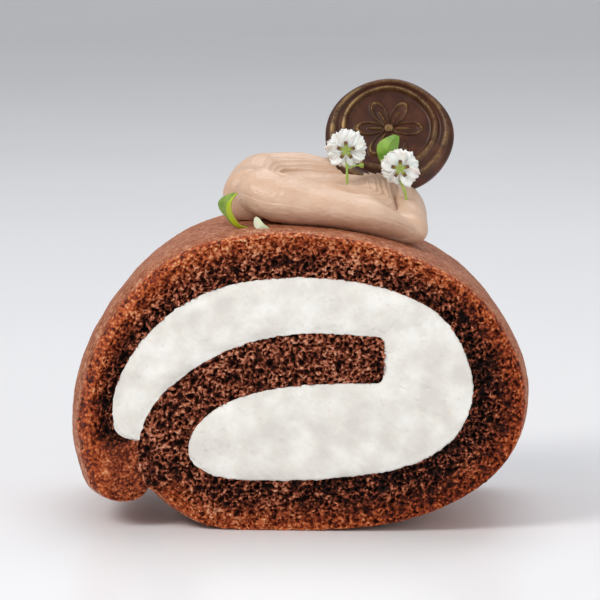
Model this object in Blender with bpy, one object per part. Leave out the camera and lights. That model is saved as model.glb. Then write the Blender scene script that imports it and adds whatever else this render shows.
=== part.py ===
"""A chocolate swiss roll cake: one sheet of sponge rolled one and a quarter turns round a cream filling,
topped with a spooned swirl of coffee cream, a chocolate seal, two small blossoms and three leaves.

Metres, +Z up. X runs across the cut face, Y along the roll, Z up; the roll lies on z = 0 with the
middle of its length at y = 0. The cut face that shows the spiral looks towards -Y.
"""
import math

import bmesh
import bpy
import numpy as np
from mathutils import Matrix, Vector

MM = 0.001

# the roll
ROLL_LENGTH = 50.0 * MM
GAP = 0.3 * MM                  # clearance between pieces that touch
SHEET_STATIONS = 84             # rings of points along the rolled sheet
SEAM_TOP = 18.3 * MM            # height at which the loose end meets the first turn
SEAM_FOOT = 9.0 * MM            # height at which they part again
TONGUE_NOSE = 2.9 * MM          # how far the squared inner end reaches past the route
RIM_DEPTH = 8.0 * MM            # how far in from a cut face its rounded rim begins
BELLY = 1.6 * MM                # the left side's swelling halfway along the roll
TAPER = 3.4 * MM                # how much the upper right side falls in towards the back
TAPER_SIDE = (0.82, 0.57)       # the direction that side faces

# the middle of the sponge sheet, from its inner end outwards: x, z and thickness in millimetres
SHEET_ROUTE = (
    (14.2, 35.0, 9.9),
    (-2.0, 34.7, 10.9),
    (-13.0, 32.0, 10.3),
    (-21.5, 27.1, 9.6),
    (-26.7, 20.6, 10.2),
    (-27.0, 12.6, 10.8),
    (-21.3, 6.9, 11.2),
    (-10.0, 5.1, 10.7),
    (4.0, 5.3, 11.0),
    (17.0, 6.8, 11.2),
    (29.3, 11.2, 11.0),
    (37.5, 18.8, 11.6),
    (40.2, 29.0, 11.4),
    (37.4, 38.6, 10.0),
    (31.5, 46.5, 8.8),
    (21.5, 52.3, 8.5),
    (8.0, 55.6, 9.3),
    (-7.0, 55.9, 9.9),
    (-19.8, 53.3, 10.3),
    (-30.3, 46.6, 9.6),
    (-38.0, 36.7, 8.5),
    (-41.8, 25.6, 8.2),
    (-41.2, 17.0, 9.4),
    (-39.6, 11.4, 9.8),
)

# how far a cut face's rim is rounded in, by the direction that the skin faces (degrees from +X)
RIM_BY_DIRECTION = ((0, 1.6), (45, 1.2), (90, 1.2), (135, 3.2), (180, 3.8), (225, 2.4), (270, 0.5), (330, 0.5))

# the swirl of coffee cream
SWIRL_CENTRE = (3.8 * MM, -2.0 * MM)
SWIRL_HALF_WIDTH = 21.0 * MM
SWIRL_HALF_DEPTH = 16.5 * MM
SWIRL_SQUARENESS = 2.7          # 2 is an oval, more is squarer
SWIRL_CREST_IN = 6.0 * MM       # from the outermost bulge in to the crest
SWIRL_FOOT_IN = 4.2 * MM        # from the outermost bulge in to the line of contact
SWIRL_HOLLOW_Z = 68.4 * MM
SWIRL_COLUMNS = 64
# height of the crest by direction (degrees from +X, anticlockwise from above), in millimetres
SWIRL_CREST = ((0, 65.6), (25, 68.4), (60, 70.8), (90, 72.5), (120, 73.5), (150, 73.5), (185, 71.4),
               (215, 72.0), (240, 70.2), (270, 68.5), (305, 66.8), (335, 63.4))
FOLD_DIRECTION = 196.0          # where the end of the spooned ridge lies over its beginning
NOSE_DIRECTION = 337.0          # where the spoon was pulled off

# the chocolate seal
SEAL_HALF_WIDTH = 13.6 * MM
SEAL_HALF_HEIGHT = 12.9 * MM
SEAL_THICKNESS = 3.6 * MM
STAMP_OFF = 1.6 * MM            # how far the stamp was pressed above the middle of the poured disc
SEAL_CENTRE = (16.5 * MM, 10.0 * MM, 76.7 * MM)
SEAL_LEAN = 28.0                # degrees back from upright
SEAL_COLUMNS = 42

# the blossoms
BLOSSOM_RADIUS = 4.1 * MM
STEM_RADIUS = 0.4 * MM
BLOSSOM_COLUMNS = 20

LEAF_THICKNESS = 0.5 * MM


def clear_scene():
    for thing in list(bpy.data.objects):
        bpy.data.objects.remove(thing, do_unlink=True)


def principled(name, colour, roughness, metallic=0.0):
    material = bpy.data.materials.new(name)
    material.use_nodes = True
    shader = material.node_tree.nodes["Principled BSDF"]
    shader.inputs["Base Color"].default_value = (*colour, 1.0)
    shader.inputs["Roughness"].default_value = roughness
    shader.inputs["Metallic"].default_value = metallic
    return material


def add_piece(name, points, faces, material, smooth_angle=math.radians(40)):
    mesh = bpy.data.meshes.new(name)
    mesh.from_pydata([tuple(map(float, p)) for p in points], [], [tuple(map(int, f)) for f in faces])
    shape = bmesh.new()
    shape.from_mesh(mesh)
    bmesh.ops.recalc_face_normals(shape, faces=shape.faces[:])
    shape.to_mesh(mesh)
    shape.free()
    mesh.update()
    mesh.materials.append(material)
    mesh.shade_smooth()
    mesh.set_sharp_from_angle(angle=smooth_angle)
    piece = bpy.data.objects.new(name, mesh)
    bpy.context.collection.objects.link(piece)
    return piece


def around(directions, stops):
    """A smooth closed course through (degrees, value) stops, read at the given directions in degrees."""
    angles = np.array([s[0] for s in stops] + [stops[0][0] + 360.0])
    values = np.array([s[1] for s in stops] + [stops[0][1]])
    wrapped = (directions - angles[0]) % 360.0 + angles[0]
    low = np.clip(np.searchsorted(angles, wrapped, side="right") - 1, 0, len(stops) - 1)
    share = (wrapped - angles[low]) / (angles[low + 1] - angles[low])
    share = share * share * (3 - 2 * share)
    return values[low] + (values[low + 1] - values[low]) * share


def bump_at(directions, centre, width):
    """1 at one direction, falling to 0 about a width away on either side (all in degrees)."""
    off = (directions - centre + 180.0) % 360.0 - 180.0
    return np.exp(-(off / width) ** 2)


def natural_cubic(knots, values, at):
    """The natural cubic spline through values at knots, read at the places 'at'."""
    count, steps = len(knots), np.diff(knots)
    matrix, right = np.eye(count), np.zeros((count,) + values.shape[1:])
    for i in range(1, count - 1):
        matrix[i, i - 1:i + 2] = (steps[i - 1], 2 * (steps[i - 1] + steps[i]), steps[i])
        right[i] = 6 * ((values[i + 1] - values[i]) / steps[i] - (values[i] - values[i - 1]) / steps[i - 1])
    bend = np.linalg.solve(matrix, right)
    low = np.clip(np.searchsorted(knots, at) - 1, 0, count - 2)
    step = steps[low][:, None]
    a = (knots[low + 1] - at)[:, None] / step
    b = (at - knots[low])[:, None] / step
    return (a * values[low] + b * values[low + 1]
            + ((a ** 3 - a) * bend[low] + (b ** 3 - b) * bend[low + 1]) * step ** 2 / 6)


def bezier(start, first, second, end, count):
    """Points inside a cubic Bezier curve, its two ends left out."""
    t = np.linspace(0, 1, count + 2)[1:-1, None]
    s = 1 - t
    return s ** 3 * start + 3 * s * s * t * first + 3 * s * t * t * second + t ** 3 * end


class Sheet:
    """The rolled sponge sheet in the XZ plane: its middle line and its two sides."""

    def __init__(self):
        route = np.array(SHEET_ROUTE) * MM
        knots = np.concatenate([[0], np.cumsum(np.hypot(*np.diff(route[:, :2], axis=0).T))])
        fine = natural_cubic(knots, route, np.linspace(0, knots[-1], 3000))
        run = np.concatenate([[0], np.cumsum(np.hypot(*np.diff(fine[:, :2], axis=0).T))])
        self.length = run[-1]
        self.run = run
        self.middle = fine[:, :2]
        self.half = fine[:, 2] / 2
        along = np.gradient(fine[:, :2], axis=0)
        along /= np.linalg.norm(along, axis=1)[:, None]
        self.along = along
        self.out = np.stack([along[:, 1], -along[:, 0]], axis=1)

    def read(self, places, table):
        return np.stack([np.interp(places, self.run, column) for column in table.T], axis=1)

    def side(self, places, sign, extra=0.0):
        """Points on the skin side (sign +1) or the cream side (sign -1), moved on by extra."""
        half = np.interp(places, self.run, self.half) + extra
        return self.read(places, self.middle) + sign * self.read(places, self.out) * half[:, None]

    def place_at_height(self, height, sign, low, high):
        """The place between two shares of the length where a side comes down to a height."""
        places = np.linspace(low, high, 400) * self.length
        heights = self.side(places, sign)[:, 1]
        return float(np.interp(-height, -heights, places))

    def squared_end(self, extra, count):
        """The inner end, squared with rounded corners, from the cream side round to the skin side."""
        phi = np.linspace(-90, 90, count + 2)[1:-1] * math.pi / 180
        power = 2 / 4.5
        ahead = (TONGUE_NOSE + extra) * np.abs(np.cos(phi)) ** power
        across = (self.half[0] + extra) * np.sign(np.sin(phi)) * np.abs(np.sin(phi)) ** power
        return self.middle[0] - self.along[0] * ahead[:, None] + self.out[0] * across[:, None]


def sponge_section(sheet):
    """The closed outline of the sheet, and how exposed each point is to the outside (1) or not (0)."""
    seam_top = sheet.place_at_height(SEAM_TOP, +1, 0.12, 0.26)
    seam_foot = sheet.place_at_height(SEAM_FOOT, +1, 0.12, 0.26)
    tip = sheet.place_at_height(SEAM_TOP + GAP, -1, 0.86, 0.99)
    inside = np.linspace(0, seam_top, 15)
    seam = np.linspace(seam_top, seam_foot, 6)
    outside = np.linspace(seam_foot, sheet.length, SHEET_STATIONS - 19)
    skin = sheet.side(np.concatenate([inside, seam[1:], outside[1:]]), +1)
    contact = sheet.side(seam[::-1], +1, GAP)
    cream_side = sheet.side(np.linspace(tip, 0, SHEET_STATIONS - 18), -1)
    down, up = skin[-1] - skin[-2], contact[1] - contact[0]
    loose_end = bezier(skin[-1], skin[-1] + down / np.linalg.norm(down) * 7.4 * MM,
                       contact[0] - up / np.linalg.norm(up) * 4.8 * MM, contact[0], 9)
    outline = np.concatenate([skin, loose_end, contact, cream_side, sheet.squared_end(0.0, 7)])
    exposed = np.zeros(len(outline))
    first, last = len(inside) + len(seam) - 2, len(skin) + len(loose_end)
    exposed[first:last] = np.minimum(1, np.minimum(np.arange(last - first), np.arange(last - first)[::-1]) / 4)
    return outline, exposed


def outward(outline):
    """Unit normals of a closed anticlockwise or clockwise outline, pointing to its outside."""
    along = np.roll(outline, -1, axis=0) - np.roll(outline, 1, axis=0)
    normal = np.stack([along[:, 1], -along[:, 0]], axis=1)
    return normal / np.maximum(np.linalg.norm(normal, axis=1), 1e-9)[:, None]


def loft(rings):
    """Quads between rings of points, with both ends closed by a fan-free polygon."""
    count = len(rings[0])
    points = np.concatenate(rings)
    here = np.arange(count)
    after = np.roll(here, -1)
    faces = []
    for k in range(len(rings) - 1):
        low, high = k * count, (k + 1) * count
        faces += np.stack([low + here, low + after, high + after, high + here], axis=1).tolist()
    faces.append((here[::-1]).tolist())
    faces.append((here + (len(rings) - 1) * count).tolist())
    return points, faces


def along_y(outline, y):
    return np.stack([outline[:, 0], np.full(len(outline), y), outline[:, 1]], axis=1)


def sponge_ring(outline, exposed, share):
    """The sponge's outline at a share of the half length: rounded at the cuts, swollen and tapered."""
    normal = outward(outline)
    facing = np.degrees(np.arctan2(normal[:, 1], normal[:, 0])) % 360
    near_cut = np.clip(1 - ROLL_LENGTH / 2 * (1 - abs(share)) / RIM_DEPTH, 0, 1)
    rounded = around(facing, RIM_BY_DIRECTION) * MM * (1 - math.sqrt(1 - near_cut ** 2))
    swollen = BELLY * np.clip(-normal[:, 0], 0, 1) * (1 - share ** 2)
    fallen = TAPER * np.clip(normal @ TAPER_SIDE, 0, 1) ** 2 * ((1 + share) / 2) ** 1.5
    ring = outline + normal * (exposed * (swollen - rounded - fallen))[:, None]
    ring[:, 1] = np.maximum(ring[:, 1], 0.0)
    return ring


def make_sponge(sheet, material):
    outline, exposed = sponge_section(sheet)
    rings = [along_y(sponge_ring(outline, exposed, share), share * ROLL_LENGTH / 2)
             for share in (-1.0, -0.985, -0.93, -0.82, -0.68, 0.0, 0.68, 0.82, 0.93, 0.985, 1.0)]
    points, faces = loft(rings)
    return add_piece("sponge", points, faces, material)


def make_cream_filling(sheet, material):
    seam_top = sheet.place_at_height(SEAM_TOP, +1, 0.12, 0.26)
    tip = sheet.place_at_height(SEAM_TOP + GAP, -1, 0.86, 0.99)
    outer = sheet.side(np.linspace(0, tip - GAP, SHEET_STATIONS - 18), -1, GAP)
    inner = sheet.side(np.linspace(seam_top - 1.4 * GAP, 0, 15), +1, GAP)
    outline = np.concatenate([outer, inner, sheet.squared_end(GAP, 7)[::-1]])
    half = ROLL_LENGTH / 2
    rings = [along_y(outline, y) for y in (-half, half)]
    points, faces = loft(rings)
    return add_piece("cream_filling", points, faces, material)


class Roof:
    """The height of the roll's top above any place on the table, read from rings along the roll."""

    def __init__(self, sheet):
        outline, exposed = sponge_section(sheet)
        self.shares = np.linspace(-0.9, 0.9, 19)
        self.across = np.linspace(-30, 34, 65) * MM
        heights = []
        for share in self.shares:
            ring = sponge_ring(outline, exposed, share)
            top = ring[(ring[:, 1] > 30 * MM) & (exposed == 1)]
            top = top[np.argsort(top[:, 0])]
            heights.append(np.interp(self.across, top[:, 0], top[:, 1]))
        self.heights = np.array(heights)

    def height(self, x, y):
        row = np.clip(np.interp(y / (ROLL_LENGTH / 2), self.shares, np.arange(len(self.shares))), 0, 17.999)
        column = np.clip(np.interp(x, self.across, np.arange(len(self.across))), 0, 63.999)
        i, j = row.astype(int), column.astype(int)
        a, b = row - i, column - j
        table = self.heights
        return ((1 - a) * ((1 - b) * table[i, j] + b * table[i, j + 1])
                + a * ((1 - b) * table[i + 1, j] + b * table[i + 1, j + 1]))


def swirl_rows(direction):
    """Reach of the outermost bulge and of the contact line, and the crest's height, by direction."""
    turn = np.radians(direction)
    reach = (np.abs(np.cos(turn) / SWIRL_HALF_WIDTH) ** SWIRL_SQUARENESS
             + np.abs(np.sin(turn) / SWIRL_HALF_DEPTH) ** SWIRL_SQUARENESS) ** (-1 / SWIRL_SQUARENESS)
    nose = bump_at(direction, NOSE_DIRECTION, 11.0)
    fold = bump_at(direction, FOLD_DIRECTION, 8.0)
    under = bump_at(direction, FOLD_DIRECTION + 16, 14.0)
    reach = reach + 1.4 * MM * nose - 2.2 * MM * fold
    contact = reach - SWIRL_FOOT_IN - 4.5 * MM * under
    crest = around(direction, SWIRL_CREST) * MM - 1.6 * MM * fold
    return turn, reach, contact, crest, nose, under


def make_swirl(roof, material):
    """Rows of points from the middle of the underside, round the bulge and over the crest, to the hollow."""
    direction = np.arange(SWIRL_COLUMNS) * 360.0 / SWIRL_COLUMNS
    turn, reach, contact, crest, nose, under = swirl_rows(direction)

    def plan(radius):
        return SWIRL_CENTRE[0] + radius * np.cos(turn), SWIRL_CENTRE[1] + radius * np.sin(turn)

    rings = []

    def add_ring(radius, height):
        x, y = plan(radius)
        rings.append(np.stack([x, y, height + 0 * x], axis=1))

    for share in (0.45, 0.85, 1.0):
        add_ring(contact * share, roof.height(*plan(contact * share)) + GAP + under * share * 1.2 * MM)
    foot = rings[-1][:, 2]
    waist = foot + (crest - foot) * (0.5 - 0.14 * nose)
    for phi in np.radians((-58, -32, -8, 16, 40, 64, 90)):
        if phi < 0:
            radius = contact + (reach - contact) * math.cos(phi)
            height = waist + (waist - foot) * math.sin(phi)
        else:
            radius = reach - SWIRL_CREST_IN * (1 - math.cos(phi))
            height = waist + (crest - waist) * math.sin(phi)
        add_ring(radius, height)
    crest_radius = reach - SWIRL_CREST_IN
    for share in (0.90, 0.80, 0.70, 0.60, 0.50, 0.38, 0.24, 0.12):
        ridge = 0.35 * MM * math.cos(share * 10 * math.pi) * min(1, share * 2)
        slope = share ** 2.2
        add_ring(crest_radius * share, SWIRL_HOLLOW_Z + (crest - SWIRL_HOLLOW_Z) * slope + ridge)
    points = np.concatenate(rings)
    count = SWIRL_COLUMNS
    here = np.arange(count)
    after = np.roll(here, -1)
    faces = []
    for k in range(len(rings) - 1):
        low, high = k * count, (k + 1) * count
        faces += np.stack([low + here, low + after, high + after, high + here], axis=1).tolist()
    under_pole, top_pole = len(points), len(points) + 1
    under_z = roof.height(np.array([SWIRL_CENTRE[0]]), np.array([SWIRL_CENTRE[1]]))[0] + GAP
    points = np.concatenate([points, [(*SWIRL_CENTRE, under_z), (*SWIRL_CENTRE, SWIRL_HOLLOW_Z)]])
    last = (len(rings) - 1) * count
    faces += [(under_pole, int(b), int(a)) for a, b in zip(here, after)]
    faces += [(top_pole, int(last + a), int(last + b)) for a, b in zip(here, after)]
    return add_piece("cream_swirl", points, faces, material)


def seal_edge(turn):
    """The poured seal's uneven outline: an oval with slow waves."""
    oval = 1 / np.sqrt((np.cos(turn) / SEAL_HALF_WIDTH) ** 2 + (np.sin(turn) / SEAL_HALF_HEIGHT) ** 2)
    return oval * (1 + 0.010 * np.cos(3 * turn + 0.6) + 0.008 * np.cos(5 * turn - 1.0) - 0.012)


def make_seal(material):
    """A disc with a rounded lip, a groove, a raised ring and a sunk field with a six-petalled flower."""
    turn = np.arange(SEAL_COLUMNS) * 2 * math.pi / SEAL_COLUMNS
    edge = seal_edge(turn)
    petal = 0.5 + 0.5 * np.cos(6 * turn)
    # share of the radius, height above the middle of the thickness as a share of the half thickness
    profile = ((0.55, -1.0), (0.90, -0.95), (0.98, -0.6), (1.0, 0.0), (0.98, 0.55), (0.93, 0.95), (0.86, 1.0),
               (0.80, 0.70), (0.77, 0.68), (0.72, 0.92), (0.68, 0.90), (0.64, 0.30), (0.50, 0.28))
    rings = []

    def add_ring(share, height, stamped):
        up = STAMP_OFF * (1 - share) / 0.3 if share > 0.7 else STAMP_OFF
        rings.append(np.stack([edge * share * np.cos(turn), edge * share * np.sin(turn) + up * stamped,
                               height * SEAL_THICKNESS / 2 + 0 * turn], axis=1))

    for k, (share, height) in enumerate(profile):
        add_ring(share, height, stamped=k > 3)
    for share in (0.40, 0.26, 0.12):
        add_ring(share, 0.28 + 0.45 * petal * math.sin(math.pi * share / 0.52), stamped=True)
    points, faces = loft(rings)
    seal = add_piece("chocolate_seal", points, faces, material)
    stand(seal)
    return seal


def stand(piece):
    """Turns a disc lying face up so that it faces -Y, leans it back and puts it in its place."""
    piece.rotation_euler = (math.radians(90 - SEAL_LEAN), 0, 0)
    piece.location = SEAL_CENTRE


def blossom_path(foot, head, share):
    """From the foot of the stem up, then over backwards into the head, all in one upright plane."""
    foot, head = np.array(foot), np.array(head)
    up = foot + (0, -0.2 * MM, 0.62 * (head - foot)[2])
    bend = head + (0, -3.0 * MM, -0.4 * MM)
    t = share[:, None]
    s = 1 - t
    return s ** 3 * foot + 3 * s * s * t * up + 3 * s * t * t * bend + t ** 3 * head


def make_blossom(name, foot, head, lobes, material):
    """One closed surface: the stem, the cup behind the flower, and its ruffled petals."""
    # share of the path, radius as a share of the head's, depth of the ruffle
    stem = STEM_RADIUS / BLOSSOM_RADIUS
    rows = ((0.0, stem, 0.0), (0.3, stem, 0.0), (0.6, stem, 0.0), (0.78, stem, 0.0), (0.86, 0.30, 0.0),
            (0.90, 0.46, 0.04), (0.92, 0.74, 0.10), (0.97, 0.95, 0.14), (1.03, 1.0, 0.16), (1.10, 0.93, 0.16),
            (1.16, 0.78, 0.14), (1.21, 0.52, 0.12), (1.23, 0.26, 0.06))
    shares = np.array([r[0] for r in rows])
    inside = np.clip(shares, 0, 1)
    centres = blossom_path(foot, head, inside)
    ahead = blossom_path(foot, head, np.minimum(inside + 0.01, 1)) - blossom_path(foot, head, inside - 0.01)
    ahead /= np.linalg.norm(ahead, axis=1)[:, None]
    length = np.linalg.norm(np.array(head) - np.array(foot))
    centres = centres + ahead[-1] * ((shares - inside) * length * 1.6)[:, None]
    turn = np.arange(BLOSSOM_COLUMNS) * 2 * math.pi / BLOSSOM_COLUMNS
    rings = []
    for k, (_, radius, ruffle) in enumerate(rows):
        sideways = np.array((1.0, 0.0, 0.0))
        upwards = np.cross(ahead[k], sideways)
        upwards /= np.linalg.norm(upwards)
        size = BLOSSOM_RADIUS * radius * (1 + ruffle * np.cos(lobes * turn + k * 0.9))
        rings.append(centres[k] + sideways * (size * np.cos(turn))[:, None] - upwards * (size * np.sin(turn))[:, None])
    points, faces = loft(rings)
    return add_piece(name, points, faces, material)


def make_leaf(name, path, reach, half_width, material, rows=7, across=5):
    """A thin blade: a path of points, spread to both sides along 'reach' and narrowing at its ends."""
    path = np.array(path) * MM
    knots = np.linspace(0, 1, len(path))
    t = np.linspace(0, 1, rows)
    spine = natural_cubic(knots, path, t)
    width = half_width * (0.22 + 0.78 * np.sin(math.pi * np.clip(t, 0.0, 1.0)) ** 0.8)
    v = np.linspace(-1, 1, across)
    spread = np.array(reach) / np.linalg.norm(reach)
    points = spine[:, None, :] + spread * (width[:, None] * v)[..., None]
    index = np.arange(rows * across).reshape(rows, across)
    faces = np.stack([index[:-1, :-1], index[:-1, 1:], index[1:, 1:], index[1:, :-1]], axis=-1).reshape(-1, 4)
    leaf = add_piece(name, points.reshape(-1, 3), faces, material)
    thickness = leaf.modifiers.new("Thickness", "SOLIDIFY")
    thickness.thickness = LEAF_THICKNESS
    thickness.offset = 0.0
    return leaf


def cut_room(piece, name, radius, depth, place, turn):
    """Cuts a round hollow out of a piece, so that what stands in it has its clearance."""
    mesh = bpy.data.meshes.new(name)
    shape = bmesh.new()
    bmesh.ops.create_cone(shape, cap_ends=True, segments=28, radius1=radius, radius2=radius, depth=depth)
    shape.to_mesh(mesh)
    shape.free()
    cutter = bpy.data.objects.new(name, mesh)
    bpy.context.collection.objects.link(cutter)
    cutter.matrix_world = Matrix.Translation(Vector(place)) @ turn
    cutter.hide_render = True
    cutter.display_type = "WIRE"
    cut = piece.modifiers.new(name, "BOOLEAN")
    cut.operation = "DIFFERENCE"
    cut.solver = "EXACT"
    cut.object = cutter


def centre_on_table(widest):
    """Hangs every object on an empty that brings the middle of the widest one over the origin."""
    pieces = list(bpy.data.objects)
    across = [vertex.co.x for vertex in widest.data.vertices]
    table_centre = bpy.data.objects.new("table_centre", None)
    bpy.context.collection.objects.link(table_centre)
    table_centre.location.x = -(min(across) + max(across)) / 2
    for piece in pieces:
        piece.parent = table_centre


def main():
    clear_scene()
    crumb = principled("chocolate_sponge", (0.145, 0.045, 0.022), 0.85)
    cream = principled("white_cream", (0.78, 0.77, 0.74), 0.55)
    coffee = principled("coffee_cream", (0.60, 0.40, 0.28), 0.5)
    chocolate = principled("dark_chocolate", (0.045, 0.020, 0.014), 0.4)
    petals = principled("white_petals", (0.86, 0.86, 0.84), 0.7)
    green = principled("green_leaf", (0.22, 0.42, 0.03), 0.5)
    pale = principled("pale_leaf", (0.62, 0.66, 0.52), 0.6)

    sheet = Sheet()
    sponge = make_sponge(sheet, crumb)
    make_cream_filling(sheet, cream)
    swirl = make_swirl(Roof(sheet), coffee)
    make_seal(chocolate)
    cut_room(swirl, "seal_room", SEAL_HALF_WIDTH * 1.015 + GAP, SEAL_THICKNESS + 2 * GAP, SEAL_CENTRE,
             Matrix.Rotation(math.radians(90 - SEAL_LEAN), 4, "X"))

    blossoms = (("blossom_front", (8.5, -5.0, 66.4), (8.3, -2.0, 75.8), 7),
                ("blossom_back", (20.6, -4.6, 62.6), (19.3, -1.6, 71.7), 6))
    for name, foot, head, lobes in blossoms:
        foot_at = [c * MM for c in foot]
        make_blossom(name, foot_at, [c * MM for c in head], lobes, petals)
        cut_room(swirl, name + "_room", STEM_RADIUS + GAP, 12 * MM, (foot_at[0], foot_at[1], foot_at[2] + 5.4 * MM),
                 Matrix.Identity(4))

    make_leaf("leaf_curl", ((-10.6, -16.5, 60.9), (-13.4, -16.6, 61.2), (-14.9, -16.8, 63.6), (-14.3, -17.2, 66.4),
                            (-12.9, -17.6, 67.9)), (-0.35, 1.0, 0.0), 2.4 * MM, green)
    make_leaf("leaf_scrap", ((-10.2, -20.6, 60.9), (-8.2, -20.4, 62.2), (-6.4, -20.2, 61.6), (-5.0, -20.0, 61.2)),
              (0.2, 0.75, 0.6), 1.1 * MM, pale)
    make_leaf("leaf_back", ((14.9, 2.6, 72.4), (15.4, 2.8, 74.6), (17.0, 3.2, 77.0), (18.4, 3.6, 78.6)),
              (0.86, 0.15, -0.5), 2.3 * MM, green)
    centre_on_table(sponge)


main()
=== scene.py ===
# %% [markdown]
# # A slice of chocolate swiss roll
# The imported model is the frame: it says how large the cake is and where each piece sits. This lesson
# puts the looks around it. Almost every piece is a surface worked out with numpy, a function of two
# parameters on a grid, because cake, cream and chocolate have no straight edges to build from.

# %% Load the frame
import math

import bpy
import numpy as np
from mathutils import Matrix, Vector


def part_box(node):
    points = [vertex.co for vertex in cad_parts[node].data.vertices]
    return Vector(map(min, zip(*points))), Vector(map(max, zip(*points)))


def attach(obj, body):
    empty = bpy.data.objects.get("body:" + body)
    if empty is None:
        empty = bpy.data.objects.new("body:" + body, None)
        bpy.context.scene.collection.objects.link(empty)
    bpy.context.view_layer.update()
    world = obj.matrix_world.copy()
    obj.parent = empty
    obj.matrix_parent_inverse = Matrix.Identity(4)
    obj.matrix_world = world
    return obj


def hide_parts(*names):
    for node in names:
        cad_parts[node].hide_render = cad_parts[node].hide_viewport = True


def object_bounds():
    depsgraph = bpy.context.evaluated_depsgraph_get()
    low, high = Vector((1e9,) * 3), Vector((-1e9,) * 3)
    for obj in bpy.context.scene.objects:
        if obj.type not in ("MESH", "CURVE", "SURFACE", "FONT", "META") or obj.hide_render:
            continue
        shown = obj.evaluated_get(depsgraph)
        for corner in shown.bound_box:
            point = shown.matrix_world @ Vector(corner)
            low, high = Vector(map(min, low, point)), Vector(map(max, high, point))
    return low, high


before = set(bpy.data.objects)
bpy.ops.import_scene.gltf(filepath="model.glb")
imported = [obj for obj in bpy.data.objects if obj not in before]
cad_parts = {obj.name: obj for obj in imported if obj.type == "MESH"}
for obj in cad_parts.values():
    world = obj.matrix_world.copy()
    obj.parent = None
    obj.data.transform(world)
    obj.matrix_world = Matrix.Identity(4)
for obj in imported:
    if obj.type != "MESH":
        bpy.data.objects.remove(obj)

MM = 0.001
CAD_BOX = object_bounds()
print("CAD box, mm:", [round(v / MM, 1) for corner in CAD_BOX for v in corner])

# %% [markdown]
# ## Small helpers
# Every length below is in millimetres until a mesh is made. Colours are written as sRGB hex, as a
# colour picker shows them, and turned to the linear values that shaders work in.


# %% Colour, node and mesh helpers
def linear(hex_colour):
    """sRGB to linear light: c / 12.92 where c is small, otherwise ((c + 0.055) / 1.055) to the power 2.4."""
    channels = [int(hex_colour[k:k + 2], 16) / 255 for k in (1, 3, 5)]
    return tuple(c / 12.92 if c <= 0.04045 else ((c + 0.055) / 1.055) ** 2.4 for c in channels) + (1.0,)


def add(tree, kind, inputs=None, stops=None, **settings):
    """Adds one node. 'inputs' gives each socket a value or another node's output, 'stops' a ramp's colours."""
    made = tree.nodes.new(kind)
    for name, value in settings.items():
        setattr(made, name, value)
    for socket, value in (inputs or {}).items():
        if isinstance(value, bpy.types.NodeSocket):
            tree.links.new(value, made.inputs[socket])
        else:
            made.inputs[socket].default_value = value
    if stops:
        ramp = made.color_ramp
        while len(ramp.elements) < len(stops):
            ramp.elements.new(1.0)
        for element, (place, colour) in zip(ramp.elements, stops):
            element.position = place
            element.color = linear(colour) if isinstance(colour, str) else (colour, colour, colour, 1.0)
    return made


def new_material(name, roughness, **sockets):
    """A material with one Principled shader. Returns it, its tree, the shader and the place on the object."""
    material = bpy.data.materials.new(name)
    material.use_nodes = True
    tree = material.node_tree
    shader = tree.nodes["Principled BSDF"]
    shader.inputs["Roughness"].default_value = roughness
    for socket, value in sockets.items():
        shader.inputs[socket.replace("_", " ")].default_value = value
    return material, tree, shader, add(tree, "ShaderNodeTexCoord").outputs["Object"]


def noise(tree, place, scale, detail, roughness=0.5):
    """Cloudy noise: hills a metre / scale apart, with 'detail' finer layers, each 'roughness' as strong."""
    return add(tree, "ShaderNodeTexNoise", {"Vector": place, "Scale": scale, "Detail": detail, "Roughness": roughness})


def relief(tree, shader, height, strength, distance):
    """Bumps that follow a value, on the whole surface. Returns them, for more to be laid on top."""
    bump = add(tree, "ShaderNodeBump", {"Height": height, "Strength": strength, "Distance": distance})
    tree.links.new(bump.outputs[0], shader.inputs["Normal"])
    return bump


def new_piece(name, points, faces, material, node, attributes=None):
    """Makes a mesh object. 'points' is (n, 3) in millimetres; 'faces' a list of arrays, one row a face."""
    mesh = bpy.data.meshes.new(name)
    corners = np.concatenate([f.ravel() for f in faces]).astype(np.int32)
    sizes = np.concatenate([np.full(len(f), f.shape[1]) for f in faces]).astype(np.int32)
    mesh.vertices.add(len(points))
    mesh.vertices.foreach_set("co", ((points + (SHIFT, 0, 0)) * MM).astype(np.float32).ravel())
    mesh.loops.add(len(corners))
    mesh.loops.foreach_set("vertex_index", corners)
    mesh.polygons.add(len(sizes))
    mesh.polygons.foreach_set("loop_start", np.concatenate([[0], np.cumsum(sizes)[:-1]]).astype(np.int32))
    mesh.polygons.foreach_set("loop_total", sizes)
    mesh.update(calc_edges=True)
    mesh.validate()
    mesh.shade_smooth()
    for key, values in (attributes or {}).items():
        layer = mesh.attributes.new(key, "FLOAT", "POINT")
        layer.data.foreach_set("value", np.broadcast_to(values, len(points)).astype(np.float32).ravel())
    mesh.materials.append(material)
    piece = bpy.data.objects.new(name, mesh)
    bpy.context.collection.objects.link(piece)
    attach(piece, "root")
    if node:
        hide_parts(node)
    mesh.calc_loop_triangles()
    print(name, len(mesh.loop_triangles), "triangles, box mm",
          np.round(points.min(0), 1), np.round(points.max(0), 1))
    return piece


def grid_faces(rows, columns, wrap=False):
    """Quads between neighbours of a (rows, columns) grid; with 'wrap' the last column meets the first."""
    index = np.arange(rows * columns).reshape(rows, columns)
    right = np.roll(index, -1, axis=1)
    last = columns if wrap else columns - 1
    return np.stack([index[:-1, :last], right[:-1, :last], right[1:, :last], index[1:, :last]],
                    axis=-1).reshape(-1, 4)


def outward_volume(points, faces):
    """Six times the signed volume of a closed mesh of quads and larger faces, split into fans."""
    total = 0.0
    for block in faces:
        for k in range(1, block.shape[1] - 1):
            a, b, c = points[block[:, 0]], points[block[:, k]], points[block[:, k + 1]]
            total += float(np.einsum("ij,ij->", a, np.cross(b, c)))
    return total


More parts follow.
